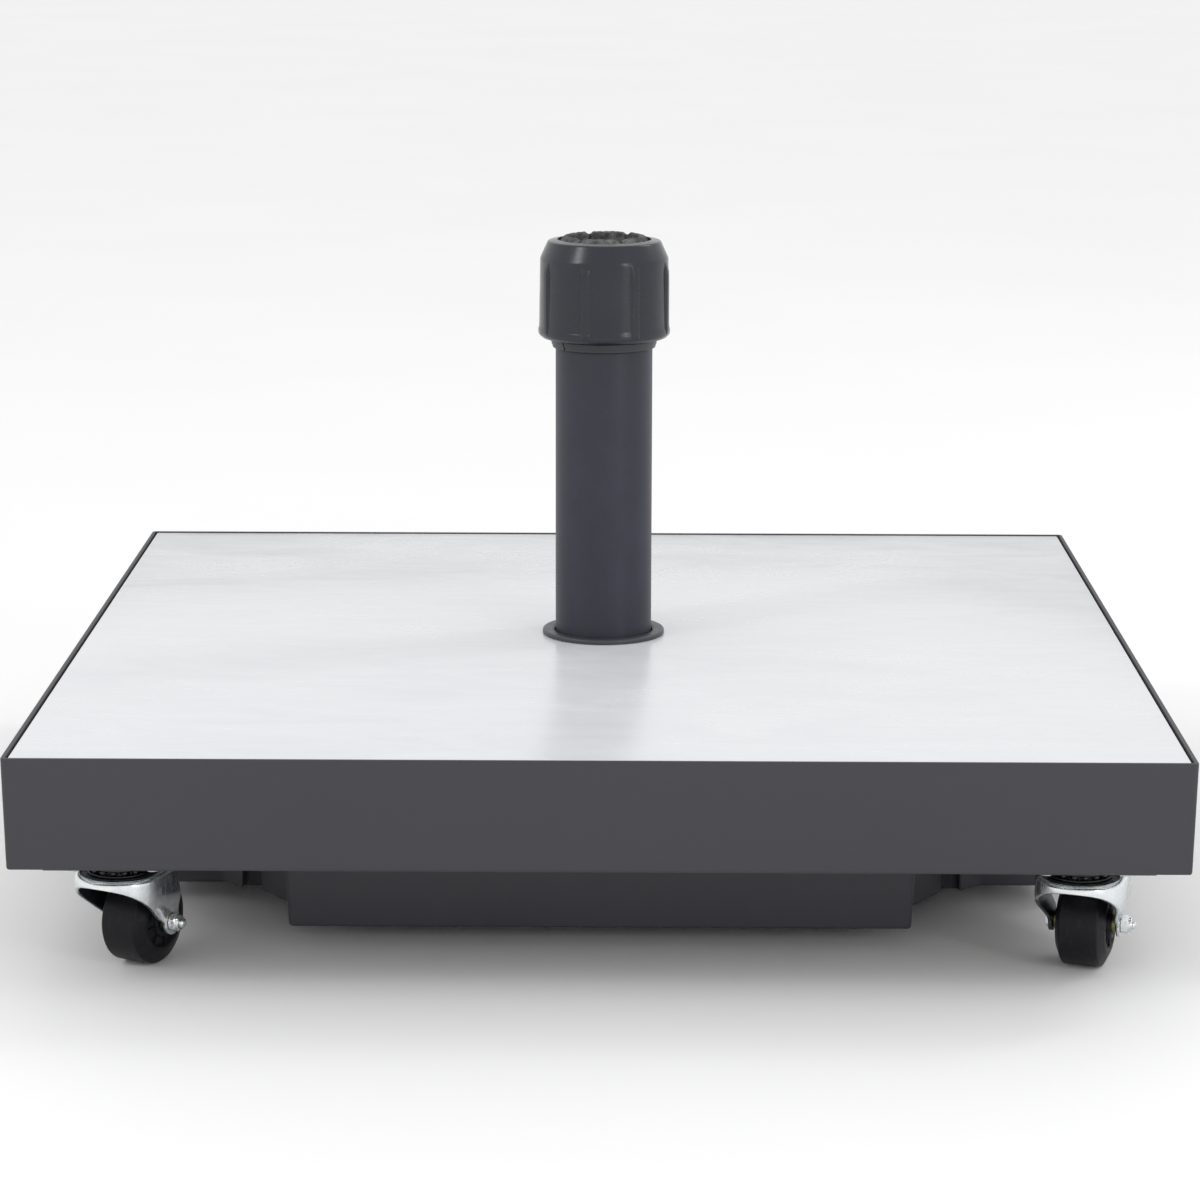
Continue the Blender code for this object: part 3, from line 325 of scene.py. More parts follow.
def wheel_plastic():
    """Hard black castor wheel with a slightly greyed, scuffed running surface."""
    g = Graph("wheel_plastic", (0.008, 0.008, 0.010), 0.46, specular=0.2)
    scuff = g.noise(260.0, 5.0, 0.72, stretch=(1.6, 0.45, 0.45))
    grain = g.noise(1500.0, 2.0, 0.5)
    dust = g.noise(90.0, 4.0, 0.62)
    tone = g.blend(g.span(scuff, 0.52, 0.72, 0.0, 0.8), (0.0065, 0.0065, 0.0085), (0.020, 0.020, 0.024))
    g.paint(g.blend(g.span(dust, 0.55, 0.75, 0.0, 0.30), tone, (0.022, 0.022, 0.024)))
    g.gloss(g.span(g.maths("ADD", scuff, grain), 0.7, 1.3, 0.34, 0.56))
    g.bump(g.maths("ADD", grain, scuff), 0.00005, 0.5)
    return g.material


def concrete():
    """Cast concrete with sand grain, air holes and a float-marked tone."""
    g = Graph("cast_concrete", (0.33, 0.32, 0.30), 0.9, specular=0.3)
    sand = g.noise(900.0, 4.0, 0.7)
    stain = g.noise(14.0, 5.0, 0.6, distortion=0.5)
    holes = g.cells(110.0)
    tone = g.blend(g.span(stain, 0.35, 0.65, 0.0, 1.0), (0.27, 0.265, 0.25), (0.37, 0.36, 0.34))
    g.paint(g.blend(g.span(holes, 0.0, 0.16, 1.0, 0.0), tone, (0.14, 0.135, 0.125)))
    g.gloss(g.span(sand, 0.3, 0.7, 0.82, 0.96))
    g.bump(g.maths("ADD", holes, g.maths("MULTIPLY", sand, 0.5)), 0.0006, 0.7)
    return g.material


def floor_surface():
    g = Graph("studio_floor", (0.93, 0.93, 0.93), 0.6, specular=0.25)
    g.paint(g.tint(g.span(g.noise(2.0, 3.0, 0.5), 0.3, 0.7, 0.0, 1.0), 0.008))
    return g.material


# ---------------------------------------------------------------- mesh helpers

def soft(points, steps=5):
    """A closed outline whose corners are rounded. Each point is (x, y, distance cut back from the corner)."""
    out = []
    count = len(points)
    for i, (x, y, cut) in enumerate(points):
        here = Vector((x, y))
        before = Vector(points[i - 1][:2])
        after = Vector(points[(i + 1) % count][:2])
        if cut <= 0.0:
            out.append((x, y))
            continue
        start = here + (before - here).normalized() * min(cut, (before - here).length * 0.48)
        end = here + (after - here).normalized() * min(cut, (after - here).length * 0.48)
        for step in range(steps + 1):
            t = step / steps
            point = start * (1 - t) ** 2 + here * (2 * t * (1 - t)) + end * t ** 2
            out.append((point.x, point.y))
    return out


def skin(name, rows, closed_rows=True, closed_columns=True):
    """Mesh over a grid of points: rows of equal length, joined row to row."""
    height, width = len(rows), len(rows[0])
    verts = [point for row in rows for point in row]
    faces = []
    for i in range(height if closed_rows else height - 1):
        following = (i + 1) % height
        for j in range(width if closed_columns else width - 1):
            beside = (j + 1) % width
            here, there = i * width, following * width
            faces.append((here + j, here + beside, there + beside, there + j))
    mesh = bpy.data.meshes.new(name)
    mesh.from_pydata(verts, [], faces)
    return mesh


def tidy(mesh, merge=1e-7):
    """Merge doubles, drop empty faces and point all normals outwards."""
    shape = bmesh.new()
    shape.from_mesh(mesh)
    bmesh.ops.remove_doubles(shape, verts=shape.verts, dist=merge)
    bmesh.ops.dissolve_degenerate(shape, edges=shape.edges, dist=merge)
    bmesh.ops.recalc_face_normals(shape, faces=shape.faces)
    shape.to_mesh(mesh)
    shape.free()
    return mesh


def lathe(name, outline, steps=96, radius=None, solid=False):
    """Turn a closed outline of (radius, height) about Z. radius(angle, r, z) may shift a point outwards.
    A solid's outline starts and ends on the axis, and isn't closed along it."""
    angles = [2 * math.pi * i / steps for i in range(steps)]
    rows = []
    for r, z in outline:
        row = []
        for angle in angles:
            reach = radius(angle, r, z) if radius else r
            row.append((reach * math.cos(angle), reach * math.sin(angle), z))
        rows.append(row)
    return tidy(skin(name, rows, closed_rows=not solid))


def rod(name, radius, low, high, steps=32):
    """A plain solid cylinder about Z, from one height to another."""
    return lathe(name, [(0.0, low), (radius, low), (radius, high), (0.0, high)], steps, solid=True)


def square_plan(half, corner, steps=8):
    points = []
    for quarter in range(4):
        base = quarter * math.pi / 2
        centre = (math.copysign(half - corner, math.cos(base + math.pi / 4)),
                  math.copysign(half - corner, math.sin(base + math.pi / 4)))
        for step in range(steps + 1):
            angle = base + math.pi / 2 * step / steps
            points.append((centre[0] + corner * math.cos(angle), centre[1] + corner * math.sin(angle)))
    return points


def around_square(name, outline, half, corner):
    """Sweep a closed outline of (inset, height) round a square with rounded corners."""
    rows = []
    for inset, z in outline:
        round_ = max(corner - inset, 0.0003)
        rows.append([(x, y, z) for x, y in square_plan(half - inset, round_)])
    return tidy(skin(name, rows))


def prism(name, outline, low, high):
    """Closed solid between two heights over a flat outline."""
    shape = bmesh.new()
    lower = [shape.verts.new((x, y, low)) for x, y in outline]
    upper = [shape.verts.new((x, y, high)) for x, y in outline]
    for i in range(len(outline)):
        j = (i + 1) % len(outline)
        shape.faces.new((lower[i], lower[j], upper[j], upper[i]))
    shape.faces.new(lower[::-1])
    shape.faces.new(upper)
    bmesh.ops.recalc_face_normals(shape, faces=shape.faces)
    mesh = bpy.data.meshes.new(name)
    shape.to_mesh(mesh)
    shape.free()
    return mesh


def loft(name, rings):
    """Closed solid through rings of equal length."""
    mesh = skin(name, rings, closed_rows=False)
    shape = bmesh.new()
    shape.from_mesh(mesh)
    shape.verts.ensure_lookup_table()
    width = len(rings[0])
    shape.faces.new([shape.verts[i] for i in range(width)])
    shape.faces.new([shape.verts[len(shape.verts) - width + i] for i in range(width)])
    bmesh.ops.recalc_face_normals(shape, faces=shape.faces)
    shape.to_mesh(mesh)
    shape.free()
    return mesh


def carve(mesh, cutters, operation="DIFFERENCE"):
    """Boolean a mesh with others and give back the finished mesh."""
    obj = bpy.data.objects.new("carving", mesh)
    bpy.context.scene.collection.objects.link(obj)
    tools = []
    for cutter in cutters:
        tool = bpy.data.objects.new("tool", cutter)
        bpy.context.scene.collection.objects.link(tool)
        modifier = obj.modifiers.new("cut", "BOOLEAN")
        modifier.operation = operation
        modifier.solver = "EXACT"
        modifier.object = tool
        tools.append(tool)
    return bake(obj, tools)


def bevelled(mesh, width, segments=3, angle=32.0):
    obj = bpy.data.objects.new("bevelling", mesh)
    bpy.context.scene.collection.objects.link(obj)
    modifier = obj.modifiers.new("edge", "BEVEL")
    modifier.width = width
    modifier.segments = segments
    modifier.limit_method = "ANGLE"
    modifier.angle_limit = math.radians(angle)
    modifier.miter_outer = "MITER_ARC"
    modifier.use_clamp_overlap = True
    return bake(obj, [])


def bake(obj, tools):
    bpy.context.view_layer.update()
    graph = bpy.context.evaluated_depsgraph_get()
    mesh = bpy.data.meshes.new_from_object(obj.evaluated_get(graph))
    for helper in [obj] + tools:
        old = helper.data
        bpy.data.objects.remove(helper, do_unlink=True)
        if old.users == 0:
            bpy.data.meshes.remove(old)
    return mesh


def merged(name, meshes):
    shape = bmesh.new()
    for mesh in meshes:
        shape.from_mesh(mesh)
    result = bpy.data.meshes.new(name)
    shape.to_mesh(result)
    shape.free()
    return result


def moved(mesh, *, offset=(0.0, 0.0, 0.0), turn=0.0):
    copy = mesh.copy()
    copy.transform(Matrix.Translation(offset) @ Matrix.Rotation(turn, 4, "Z"))
    return copy


def on_side(mesh):
    """Lay a mesh that was turned about Z on its side, axis along X."""
    mesh.transform(Matrix.Rotation(math.pi / 2, 4, "Y"))
    return mesh


def piece(name, mesh, material, body, stands_for=(), place=None, sharp=38.0):
    """Put a finished mesh into the scene on its body, in place of the CAD nodes it stands for."""
    mesh.materials.clear()
    mesh.materials.append(material)
    mesh.shade_smooth()
    mesh.set_sharp_from_angle(angle=math.radians(sharp))
    obj = bpy.data.objects.new(name, mesh)
    bpy.context.scene.collection.objects.link(obj)
    if place is not None:
        obj.matrix_world = place
    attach(obj, body)
    if stands_for:
        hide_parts(*stands_for)
    return obj


def dress(node, material):
    """Give a CAD node that stays in view its finished material."""
    slots = frame["nodes"][node].data.materials
    slots.clear()
    slots.append(material)


def smooth_step(value):
    value = max(0.0, min(1.0, value))
    return value * value * (3 - 2 * value)


def hexagon(across_flats):
    radius = across_flats / 2 / math.cos(math.pi / 6)
    angles = [math.pi / 3 * i for i in range(6)]
    return [(radius * math.cos(a), radius * math.sin(a)) for a in angles]


def hex_head(name, across_flats, low, high, chamfer_low=True, chamfer_high=False):
    """Hexagon with the conical chamfers of a turned nut or bolt head."""
    body = prism(name, hexagon(across_flats), low, high)
    flats = across_flats / 2
    outline = [(0.0, low)]
    tall = (high - low)
    if chamfer_low:
        outline += [(flats * 0.96, low), (flats * 1.17, low + tall * 0.24)]
    else:
        outline += [(flats * 1.2, low)]
    if chamfer_high:
        outline += [(flats * 1.17, high - tall * 0.24), (flats * 0.96, high)]
    else:
        outline += [(flats * 1.2, high)]
    outline += [(0.0, high)]
    return carve(body, [lathe("chamfer", outline, 48, solid=True)], "INTERSECT")


def threaded_rod(name, radius, low, high, pitch, steps=24, lead=0.0006):
    """Rod with a fine helical thread and a chamfered end."""
    per_turn = steps
    turns = (high - low) / pitch
    rows = []
    total = max(12, int(turns * 4))
    for k in range(total + 1):
        z = low + (high - low) * k / total
        row = []
        for j in range(per_turn):
            angle = 2 * math.pi * j / per_turn
            phase = ((z - low) / pitch - j / per_turn) % 1.0
            depth = pitch * 0.45 * abs(phase - 0.5) * 2
            end = min(z - low, high - z)
            reach = radius - depth * 0.8 - max(0.0, lead - end)
            row.append((reach * math.cos(angle), reach * math.sin(angle), z))
        rows.append(row)
    mesh = skin(name, rows, closed_rows=False)
    shape = bmesh.new()
    shape.from_mesh(mesh)
    shape.verts.ensure_lookup_table()
    shape.faces.new([shape.verts[j] for j in range(per_turn)][::-1])
    shape.faces.new([shape.verts[total * per_turn + j] for j in range(per_turn)])
    bmesh.ops.recalc_face_normals(shape, faces=shape.faces)
    shape.to_mesh(mesh)
    shape.free()
    return mesh


# ---------------------------------------------------------------- finishes

FORK_TOP = 0.0625
CROWN_R = 0.0270
AXLE_HALF = 0.0220
JOGGLE_LOW = 0.033
JOGGLE_HIGH = 0.047
SKIRT_COAT = powder_coat("skirt_powder_coat", (0.0340, 0.0330, 0.0405), 0.50)
TRAY_COAT = powder_coat("tray_powder_coat", (0.0400, 0.0385, 0.0480), 0.50)
PLATE_COAT = powder_coat("corner_plate_paint", (0.030, 0.029, 0.033), 0.55)
TUBE_COAT = tube_coat()
STONEWARE = ceramic()
CAP_PLASTIC = moulded_plastic("cap_plastic", (0.0165, 0.0190, 0.0270), 0.22, grain=1300.0, depth=0.00001,
                              specular=0.42)
RING_PLASTIC = moulded_plastic("cover_ring_plastic", (0.036, 0.040, 0.046), 0.40)
COLLAR_PLASTIC = moulded_plastic("collar_plastic", (0.024, 0.026, 0.031), 0.40)
GUIDE_PLASTIC = moulded_plastic("guide_plastic", (0.030, 0.030, 0.033), 0.5, grain=700.0, depth=0.00006)
PRESS_PLASTIC = moulded_plastic("pressure_ring_plastic", (0.040, 0.042, 0.045), 0.45)
JAW_RUBBER = rubber_grain()
ZINC = zinc()
BOLT_STEEL = zinc("bolt_zinc", (0.74, 0.75, 0.76), 0.30, 0.25)
AXLE_STEEL = zinc("axle_zinc", (0.68, 0.72, 0.77), 0.22, 0.2)
FORK_ZINC = fork_zinc()
RACE_STEEL = turned_metal("race_steel", (0.055, 0.056, 0.054), 0.36)
BRASS = turned_metal("bush_brass", (0.23, 0.215, 0.10), 0.38)
WHEEL_BLACK = wheel_plastic()
CONCRETE = concrete()


# ---------------------------------------------------------------- frame, plate and tray

def make_frame():
    low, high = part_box("frame")
    bottom, rim, half = low.z, high.z, high.x
    lean = 0.0016
    sheet = 0.0025
    outline = soft([
        (0.0, rim, 0.0007),
        (sheet, rim, 0.0006),
        (sheet + lean * 0.9, bottom + 0.003, 0.0016),
        (0.040, bottom + 0.003, 0.0008),
        (0.040, bottom, 0.0008),
        (lean, bottom, 0.0022),
    ], 5)
    mesh = around_square("frame_shell", outline, half, 0.003)
    piece("frame_shell", mesh, SKIRT_COAT, "base", ["frame"])


def make_top_plate():
    low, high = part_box("top_plate")
    half = high.x
    plan = square_plan(half, 0.0015, 5)
    edge = 0.0007
    shoulder = half - edge * 0.35
    rings = [
        [(x * (half - edge) / half, y * (half - edge) / half, low.z) for x, y in plan],
        [(x, y, low.z + edge) for x, y in plan],
        [(x, y, high.z - edge) for x, y in plan],
        [(x * shoulder / half, y * shoulder / half, high.z - edge * 0.3) for x, y in plan],
        [(x * (half - edge) / half, y * (half - edge) / half, high.z) for x, y in plan],
    ]
    slab = loft("stone_slab", rings)
    bore, past, chamfer = 0.034, 0.01, 0.0006
    drill = lathe("drill", [(0.0, low.z - past), (bore, low.z - past), (bore, high.z - chamfer),
                            (bore + chamfer, high.z), (bore + chamfer, high.z + past), (0.0, high.z + past)],
                  96, solid=True)
    piece("stone_slab", carve(slab, [drill]), STONEWARE, "base", ["top_plate"], sharp=25.0)


def tray_plan(half):
    """The tray's plan, anticlockwise: a deep well with splayed corners, grooves and two wings."""
    ax, ay = half - 0.129, half - 0.189
    wx, wy = ax + 0.007, ay + 0.0035
    quarter = [
        (half - 0.050, half - 0.204),
        (half - 0.105, half - 0.204),
        (wx, wy),
        (wx - 0.00175, wy - 0.011),
        (ax - 0.000875, ay - 0.0075),
        (ax, ay),
        (half - 0.153, half - 0.153),
        (half - 0.154, half - 0.108),
    ]
    back_left = [(-x, y) for x, y in reversed(quarter)]
    front_left = [(-x, -y) for x, y in quarter]
    front_right = [(x, -y) for x, y in reversed(quarter)]
    return quarter + back_left + front_left + front_right


def inset_plan(outline, distance):
    moved_points = []
    for i, point in enumerate(outline):
        before = (Vector(point) - Vector(outline[i - 1])).normalized()
        after = (Vector(outline[(i + 1) % len(outline)]) - Vector(point)).normalized()
        n1, n2 = Vector((-before.y, before.x)), Vector((-after.y, after.x))
        mitre = (n1 + n2).normalized()
        shift = mitre * (distance / mitre.dot(n2))
        moved_points.append((point[0] + shift.x, point[1] + shift.y))
    return moved_points


def make_tray():
    low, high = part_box("ballast_tray")
    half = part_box("frame")[1].x
    plan = tray_plan(half)
    draft = 0.003

    def rings(offset, bottom, top):
        levels = []
        for z in (bottom, top):
            lean = draft * (1 - (z - low.z) / (high.z - low.z))
            levels.append([(x, y, z) for x, y in inset_plan(plan, offset + lean)])
        return levels

    shell = loft("tray_outer", rings(0.0, low.z, high.z))
    shell = bevelled(shell, 0.0034, 4, 25.0)
    wall = 0.003
    painted_inner_shade = loft("tray_inner", rings(wall, low.z + wall, high.z + wall))
    reach = 0.075
    gap = prism("tray_gap", square_plan(reach, 0.004, 4), low.z - 0.01, low.z + 2 * wall)
    mesh = carve(shell, [painted_inner_shade, gap])
    piece("tray_shell", mesh, TRAY_COAT, "base", ["ballast_tray"], sharp=30.0)
    dress("ballast_casting", CONCRETE)


# ---------------------------------------------------------------- tube, collar and clamp

TUBE_R = 0.03225
TUBE_BORE = 0.030


def make_tube():
    low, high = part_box("stand_tube")
    foot_low, foot_high = low.z, low.z + 0.006
    tube = lathe("tube_wall", soft([
        (TUBE_BORE, foot_high - 0.001, 0.0),
        (TUBE_R, foot_high - 0.001, 0.0),
        (TUBE_R, high.z, 0.0005),
        (TUBE_BORE, high.z, 0.0005),
    ], 4), 128)
    plate = prism("tube_foot", square_plan(0.070, 0.004, 6), foot_low, foot_high)
    drills = [prism("drain", square_plan(0.006, 0.0059, 8), foot_low - 0.01, foot_high + 0.01)]
    for x in (-0.050, 0.050):
        for y in (-0.050, 0.050):
            hole = prism("hole", square_plan(0.0043, 0.0042, 6), foot_low - 0.01, foot_high + 0.01)
            hole.transform(Matrix.Translation((x, y, 0.0)))
            drills.append(hole)
    plate = bevelled(carve(plate, drills), 0.0005, 2, 50.0)
    mesh = merged("pole_tube", [tube, plate])
    piece("pole_tube", mesh, TUBE_COAT, "base", ["stand_tube"])


def make_foot_bolts():
    for number in range(1, 5):
        node = f"foot_bolt_{number}"
        low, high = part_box(node)
        centre = (low + high) / 2
        seat = low.z + 0.0053
        head = hex_head("head", 0.013, low.z, seat - 0.0009, True, False)
        washer = lathe("washer", soft([(0.0045, seat, 0.0), (0.0045, seat - 0.0009, 0.0),
                                       (0.0085, seat - 0.0009, 0.0003), (0.0085, seat, 0.0003)], 2), 40)
        shank = threaded_rod("shank", 0.004, seat - 0.001, high.z, 0.00125, 20)
        mesh = moved(merged(node, [head, washer, shank]), offset=(centre.x, centre.y, 0.0), turn=0.4 * number)
        piece(f"foot_screw_{number}", mesh, BOLT_STEEL, "base", [node])


def make_cover_ring():
    low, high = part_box("cover_ring")
    bore = 0.03285
    outline = soft([
        (bore, low.z, 0.0002),
        (high.x, low.z, 0.0004),
        (high.x, high.z, 0.0019),
        (bore + 0.0016, high.z, 0.0005),
        (bore, high.z - 0.0009, 0.0004),
    ], 6)
    ring = lathe("tube_cover_ring", outline, 128)
    piece("tube_cover_ring", ring, RING_PLASTIC, "base", ["cover_ring"])


def make_collar():
    low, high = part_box("threaded_collar")
    ring_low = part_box("stand_tube")[1].z + 0.0003
    step = 0.0057 / 3
    ring = 0.0355
    outline = [(0.0255, low.z, 0.0006), (0.0297, low.z, 0.0006), (0.0297, ring_low, 0.0),
               (ring - 0.0012, ring_low, 0.0004),
               (ring - 0.0012, ring_low + step, 0.0002), (ring - 0.0006, ring_low + step, 0.0003),
               (ring - 0.0006, ring_low + 2 * step, 0.0002), (ring, ring_low + 2 * step, 0.0003),
               (ring, ring_low + 3 * step, 0.0004), (0.0325, ring_low + 3 * step, 0.0003)]
    top = high.z
    outline += [(0.0325, top - 0.0008, 0.0006), (0.0318, top, 0.0004), (0.0255, top, 0.0006)]
    slit = math.radians(-139)

    def groove(angle, r, z):
        if z < ring_low - 0.0001 or z > ring_low + 0.0058 or r < 0.033:
            return r
        off = abs((angle - slit + math.pi) % (2 * math.pi) - math.pi) * r
        return r - 0.0011 * (1 - smooth_step((off - 0.00035) / 0.0003))

    body = lathe("collar_body", soft(outline, 3), 720, radius=groove)
    thread_rows = []
    pitch = 0.004
    thread_low, thread_high = ring_low + 0.010, top - 0.0015
    turns = (thread_high - thread_low) / pitch
    count = int(turns * 72)
    for k in range(count + 1):
        angle = 2 * math.pi * k / 72
        z = thread_low + pitch * k / 72
        rise = min(1.0, k / 12, (count - k) / 12)
        crest = 0.0324 + 0.0019 * smooth_step(rise)
        section = [(0.0322, z - 0.0013), (crest, z - 0.0005), (crest, z + 0.0005), (0.0322, z + 0.0013)]
        thread_rows.append([(r * math.cos(angle), r * math.sin(angle), h) for r, h in section])
    thread = tidy(skin("thread", thread_rows, closed_rows=False))
    mesh = merged("screw_collar", [body, thread])
    piece("screw_collar", mesh, COLLAR_PLASTIC, "base", ["threaded_collar"])


CAP_TAPER = 0.45


def make_cap():
    low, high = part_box("clamp_cap")
    top = high.z
    foot = low.z
    body_r, draft = 0.04250, 0.0007
    shoulder = top - 0.0011 - (body_r - 0.0374) / CAP_TAPER
    lip_low, lip_high = foot + 0.0024, foot + 0.0056
    body_foot = lip_high + 0.0016
    outline = soft([
        (0.0310, top - 0.0013, 0.0005),
        (0.0310, top, 0.0005),
        (0.0374, top - 0.0011, 0.0010),
        (body_r, shoulder, 0.0013),
        (body_r + draft, body_foot, 0.0016),
        (0.0438, lip_high, 0.0012),
        (0.0438, lip_low, 0.0012),
        (0.0414, foot, 0.0006),
        (0.0365, foot, 0.0004),
        (0.0365, foot + 0.0085, 0.0005),
        (0.0350, foot + 0.0085, 0.0004),
        (0.0350, 0.3915, 0.0004),
        (0.0394, 0.3915, 0.0004),
        (0.0394, 0.3972, 0.0006),
        (0.0328, top - 0.0013, 0.0005),
    ], 7)
    dense = []
    for i, (r, z) in enumerate(outline):
        nr, nz = outline[(i + 1) % len(outline)]
        dense.append((r, z))
        if abs(nz - z) > 0.004 and r > 0.0405 and nr > 0.0405:
            dense += [(r + (nr - r) * k / 18, z + (nz - z) * k / 18) for k in range(1, 18)]
    rib_top = shoulder - 0.0022
    slope = 0.0075

    def ribbed(angle, r, z):
        if r < 0.0405 or z > shoulder or z < lip_low:
            return r
        first = math.radians(-106.5)
        pitch = 2 * math.pi / 8
        off = abs((angle - first + pitch / 2) % pitch - pitch / 2) * r
        across = 1 - smooth_step((off - 0.0017) / 0.0016)
        run = max(0.0, min(1.0, (rib_top - z) / slope))
        fade = smooth_step((z - lip_low - 0.0006) / 0.0014)
        proud = 0.00165 * math.sin(run * math.pi / 2) ** 0.8 if run > 0.0 else 0.0
        crest = body_r + draft * (shoulder - z) / (shoulder - body_foot) + proud
        return max(r, r + (min(crest, 0.0444) - r) * across * fade) if run > 0.0 else r

    mesh = lathe("grip_cap", dense, 960, radius=ribbed)
    piece("grip_cap", mesh, CAP_PLASTIC, "clamp_hand_cap", ["clamp_cap"], sharp=42.0)
    dress("pressure_ring", PRESS_PLASTIC)
    dress("pole_guide", GUIDE_PLASTIC)


def make_jaws():
    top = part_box("clamp_jaw_1")[1].z
    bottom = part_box("clamp_jaw_1")[0].z
    gap = 0.0024
    sector = math.pi / 6
    for number in range(1, 7):
        node = f"clamp_jaw_{number}"
        middle = math.radians(84 - 60 * (number - 1))
        outline = soft([
            (0.0237, bottom, 0.0005),
            (0.0361, bottom, 0.0005),
            (0.0361, 0.3972, 0.0010),
            (0.0295, top - 0.0043, 0.0010),
            (0.0276, top - 0.0012, 0.0012),
            (0.0256, top, 0.0012),
            (0.0237, top - 0.0011, 0.0008),
        ], 6)
        steps = 36
        rows = []
        for r, z in outline:
            half = sector - math.asin(gap / 2 / r)
            row = []
            for k in range(steps + 1):
                share = 2 * k / steps - 1
                angle = middle + half * share
                end = (1 - abs(share)) * half * r
                crown = smooth_step((z - (top - 0.004)) / 0.004)
                dip = 0.0013 * (1 - smooth_step(end / 0.0024)) * crown
                spot = Vector((r * math.cos(angle), r * math.sin(angle), z)) * 420.0
                lump = 0.00035 * (noise.noise(spot) - 0.35) * crown
                height = min(top, z - dip + lump)
                row.append((r * math.cos(angle), r * math.sin(angle), height))
            rows.append(row)
        mesh = skin(node, rows, closed_columns=False)
        shape = bmesh.new()
        shape.from_mesh(mesh)
        shape.verts.ensure_lookup_table()
        width = steps + 1
        shape.faces.new([shape.verts[i * width] for i in range(len(rows))])
        shape.faces.new([shape.verts[i * width + steps] for i in range(len(rows))])
        bmesh.ops.recalc_face_normals(shape, faces=shape.faces)
        shape.to_mesh(mesh)
        shape.free()
        piece(f"grip_jaw_{number}", mesh, JAW_RUBBER, f"jaw_{number}_body", [node])


# ---------------------------------------------------------------- castors

TRAIL = 0.0231
AXLE_Z = 0.0272
AXLE_HOLE_R = 0.0033
BOSS_R = 0.0078
FORK_SHEET = 0.0023
CROWN_ROUND = 0.0032
WHEEL_R = 0.0272
WHEEL_HALF = 0.0155
SEAT = 0.0223
MOUNT_SHEET = 0.0025
BOLT_OFFSET = 0.0235


def fork_half(z):
    """Half the fork's outer width: parallel round the axle, then an even step out to the crown's width."""
    share = max(0.0, min(1.0, (z - JOGGLE_LOW) / (JOGGLE_HIGH - JOGGLE_LOW)))
    return AXLE_HALF + (CROWN_R - AXLE_HALF) * (0.7 * share + 0.3 * smooth_step(share))


def fork_outline(half, back, chamfer=0.0004):
    """The fork's plan at one height: half round in front, straight flanks, chamfered back corners."""
    angles = [math.pi + math.pi * i / 56 for i in range(57)]
    points = [(half * math.cos(a), half * math.sin(a)) for a in angles]
    corner = []
    for k in range(5):
        a = math.pi / 2 * k / 4
        corner.append((half - chamfer * (1 - math.cos(a)), back - chamfer * (1 - math.sin(a))))
    return points + corner + [(-x, y) for x, y in reversed(corner)]


def fork_profile():
    """Side view of the fork as (back, up): the front edge sweeps down in a soft S to the axle boss."""
    front = -CROWN_R - 0.0003
    path = [(front, FORK_TOP - 0.0045)]
    path += [(back, AXLE_Z + up) for back, up in ((-0.0205, 0.0277), (-0.0130, 0.0228), (-0.0050, 0.0165),
                                                  (0.0010, 0.0116), (0.0055, 0.0078), (0.0095, 0.0048),
                                                  (0.0130, 0.0023))]
    path.append((TRAIL - BOSS_R, AXLE_Z))
    fine = []
    for i in range(len(path) - 1):
        p0 = Vector(path[max(i - 1, 0)])
        p1, p2 = Vector(path[i]), Vector(path[i + 1])
        p3 = Vector(path[min(i + 2, len(path) - 1)])
        for k in range(5):
            t = k / 5
            fine.append(tuple(0.5 * ((2 * p1) + (p2 - p0) * t + (2 * p0 - 5 * p1 + 4 * p2 - p3) * t ** 2
                                     + (3 * p1 - p0 - 3 * p2 + p3) * t ** 3)))
    angles = [math.pi + math.pi * i / 24 for i in range(25)]
    boss = [(TRAIL + BOSS_R * math.cos(a), AXLE_Z + BOSS_R * math.sin(a)) for a in angles]
    top = FORK_TOP + 0.001
    return fine + boss + [(0.0205, top), (front, top)]


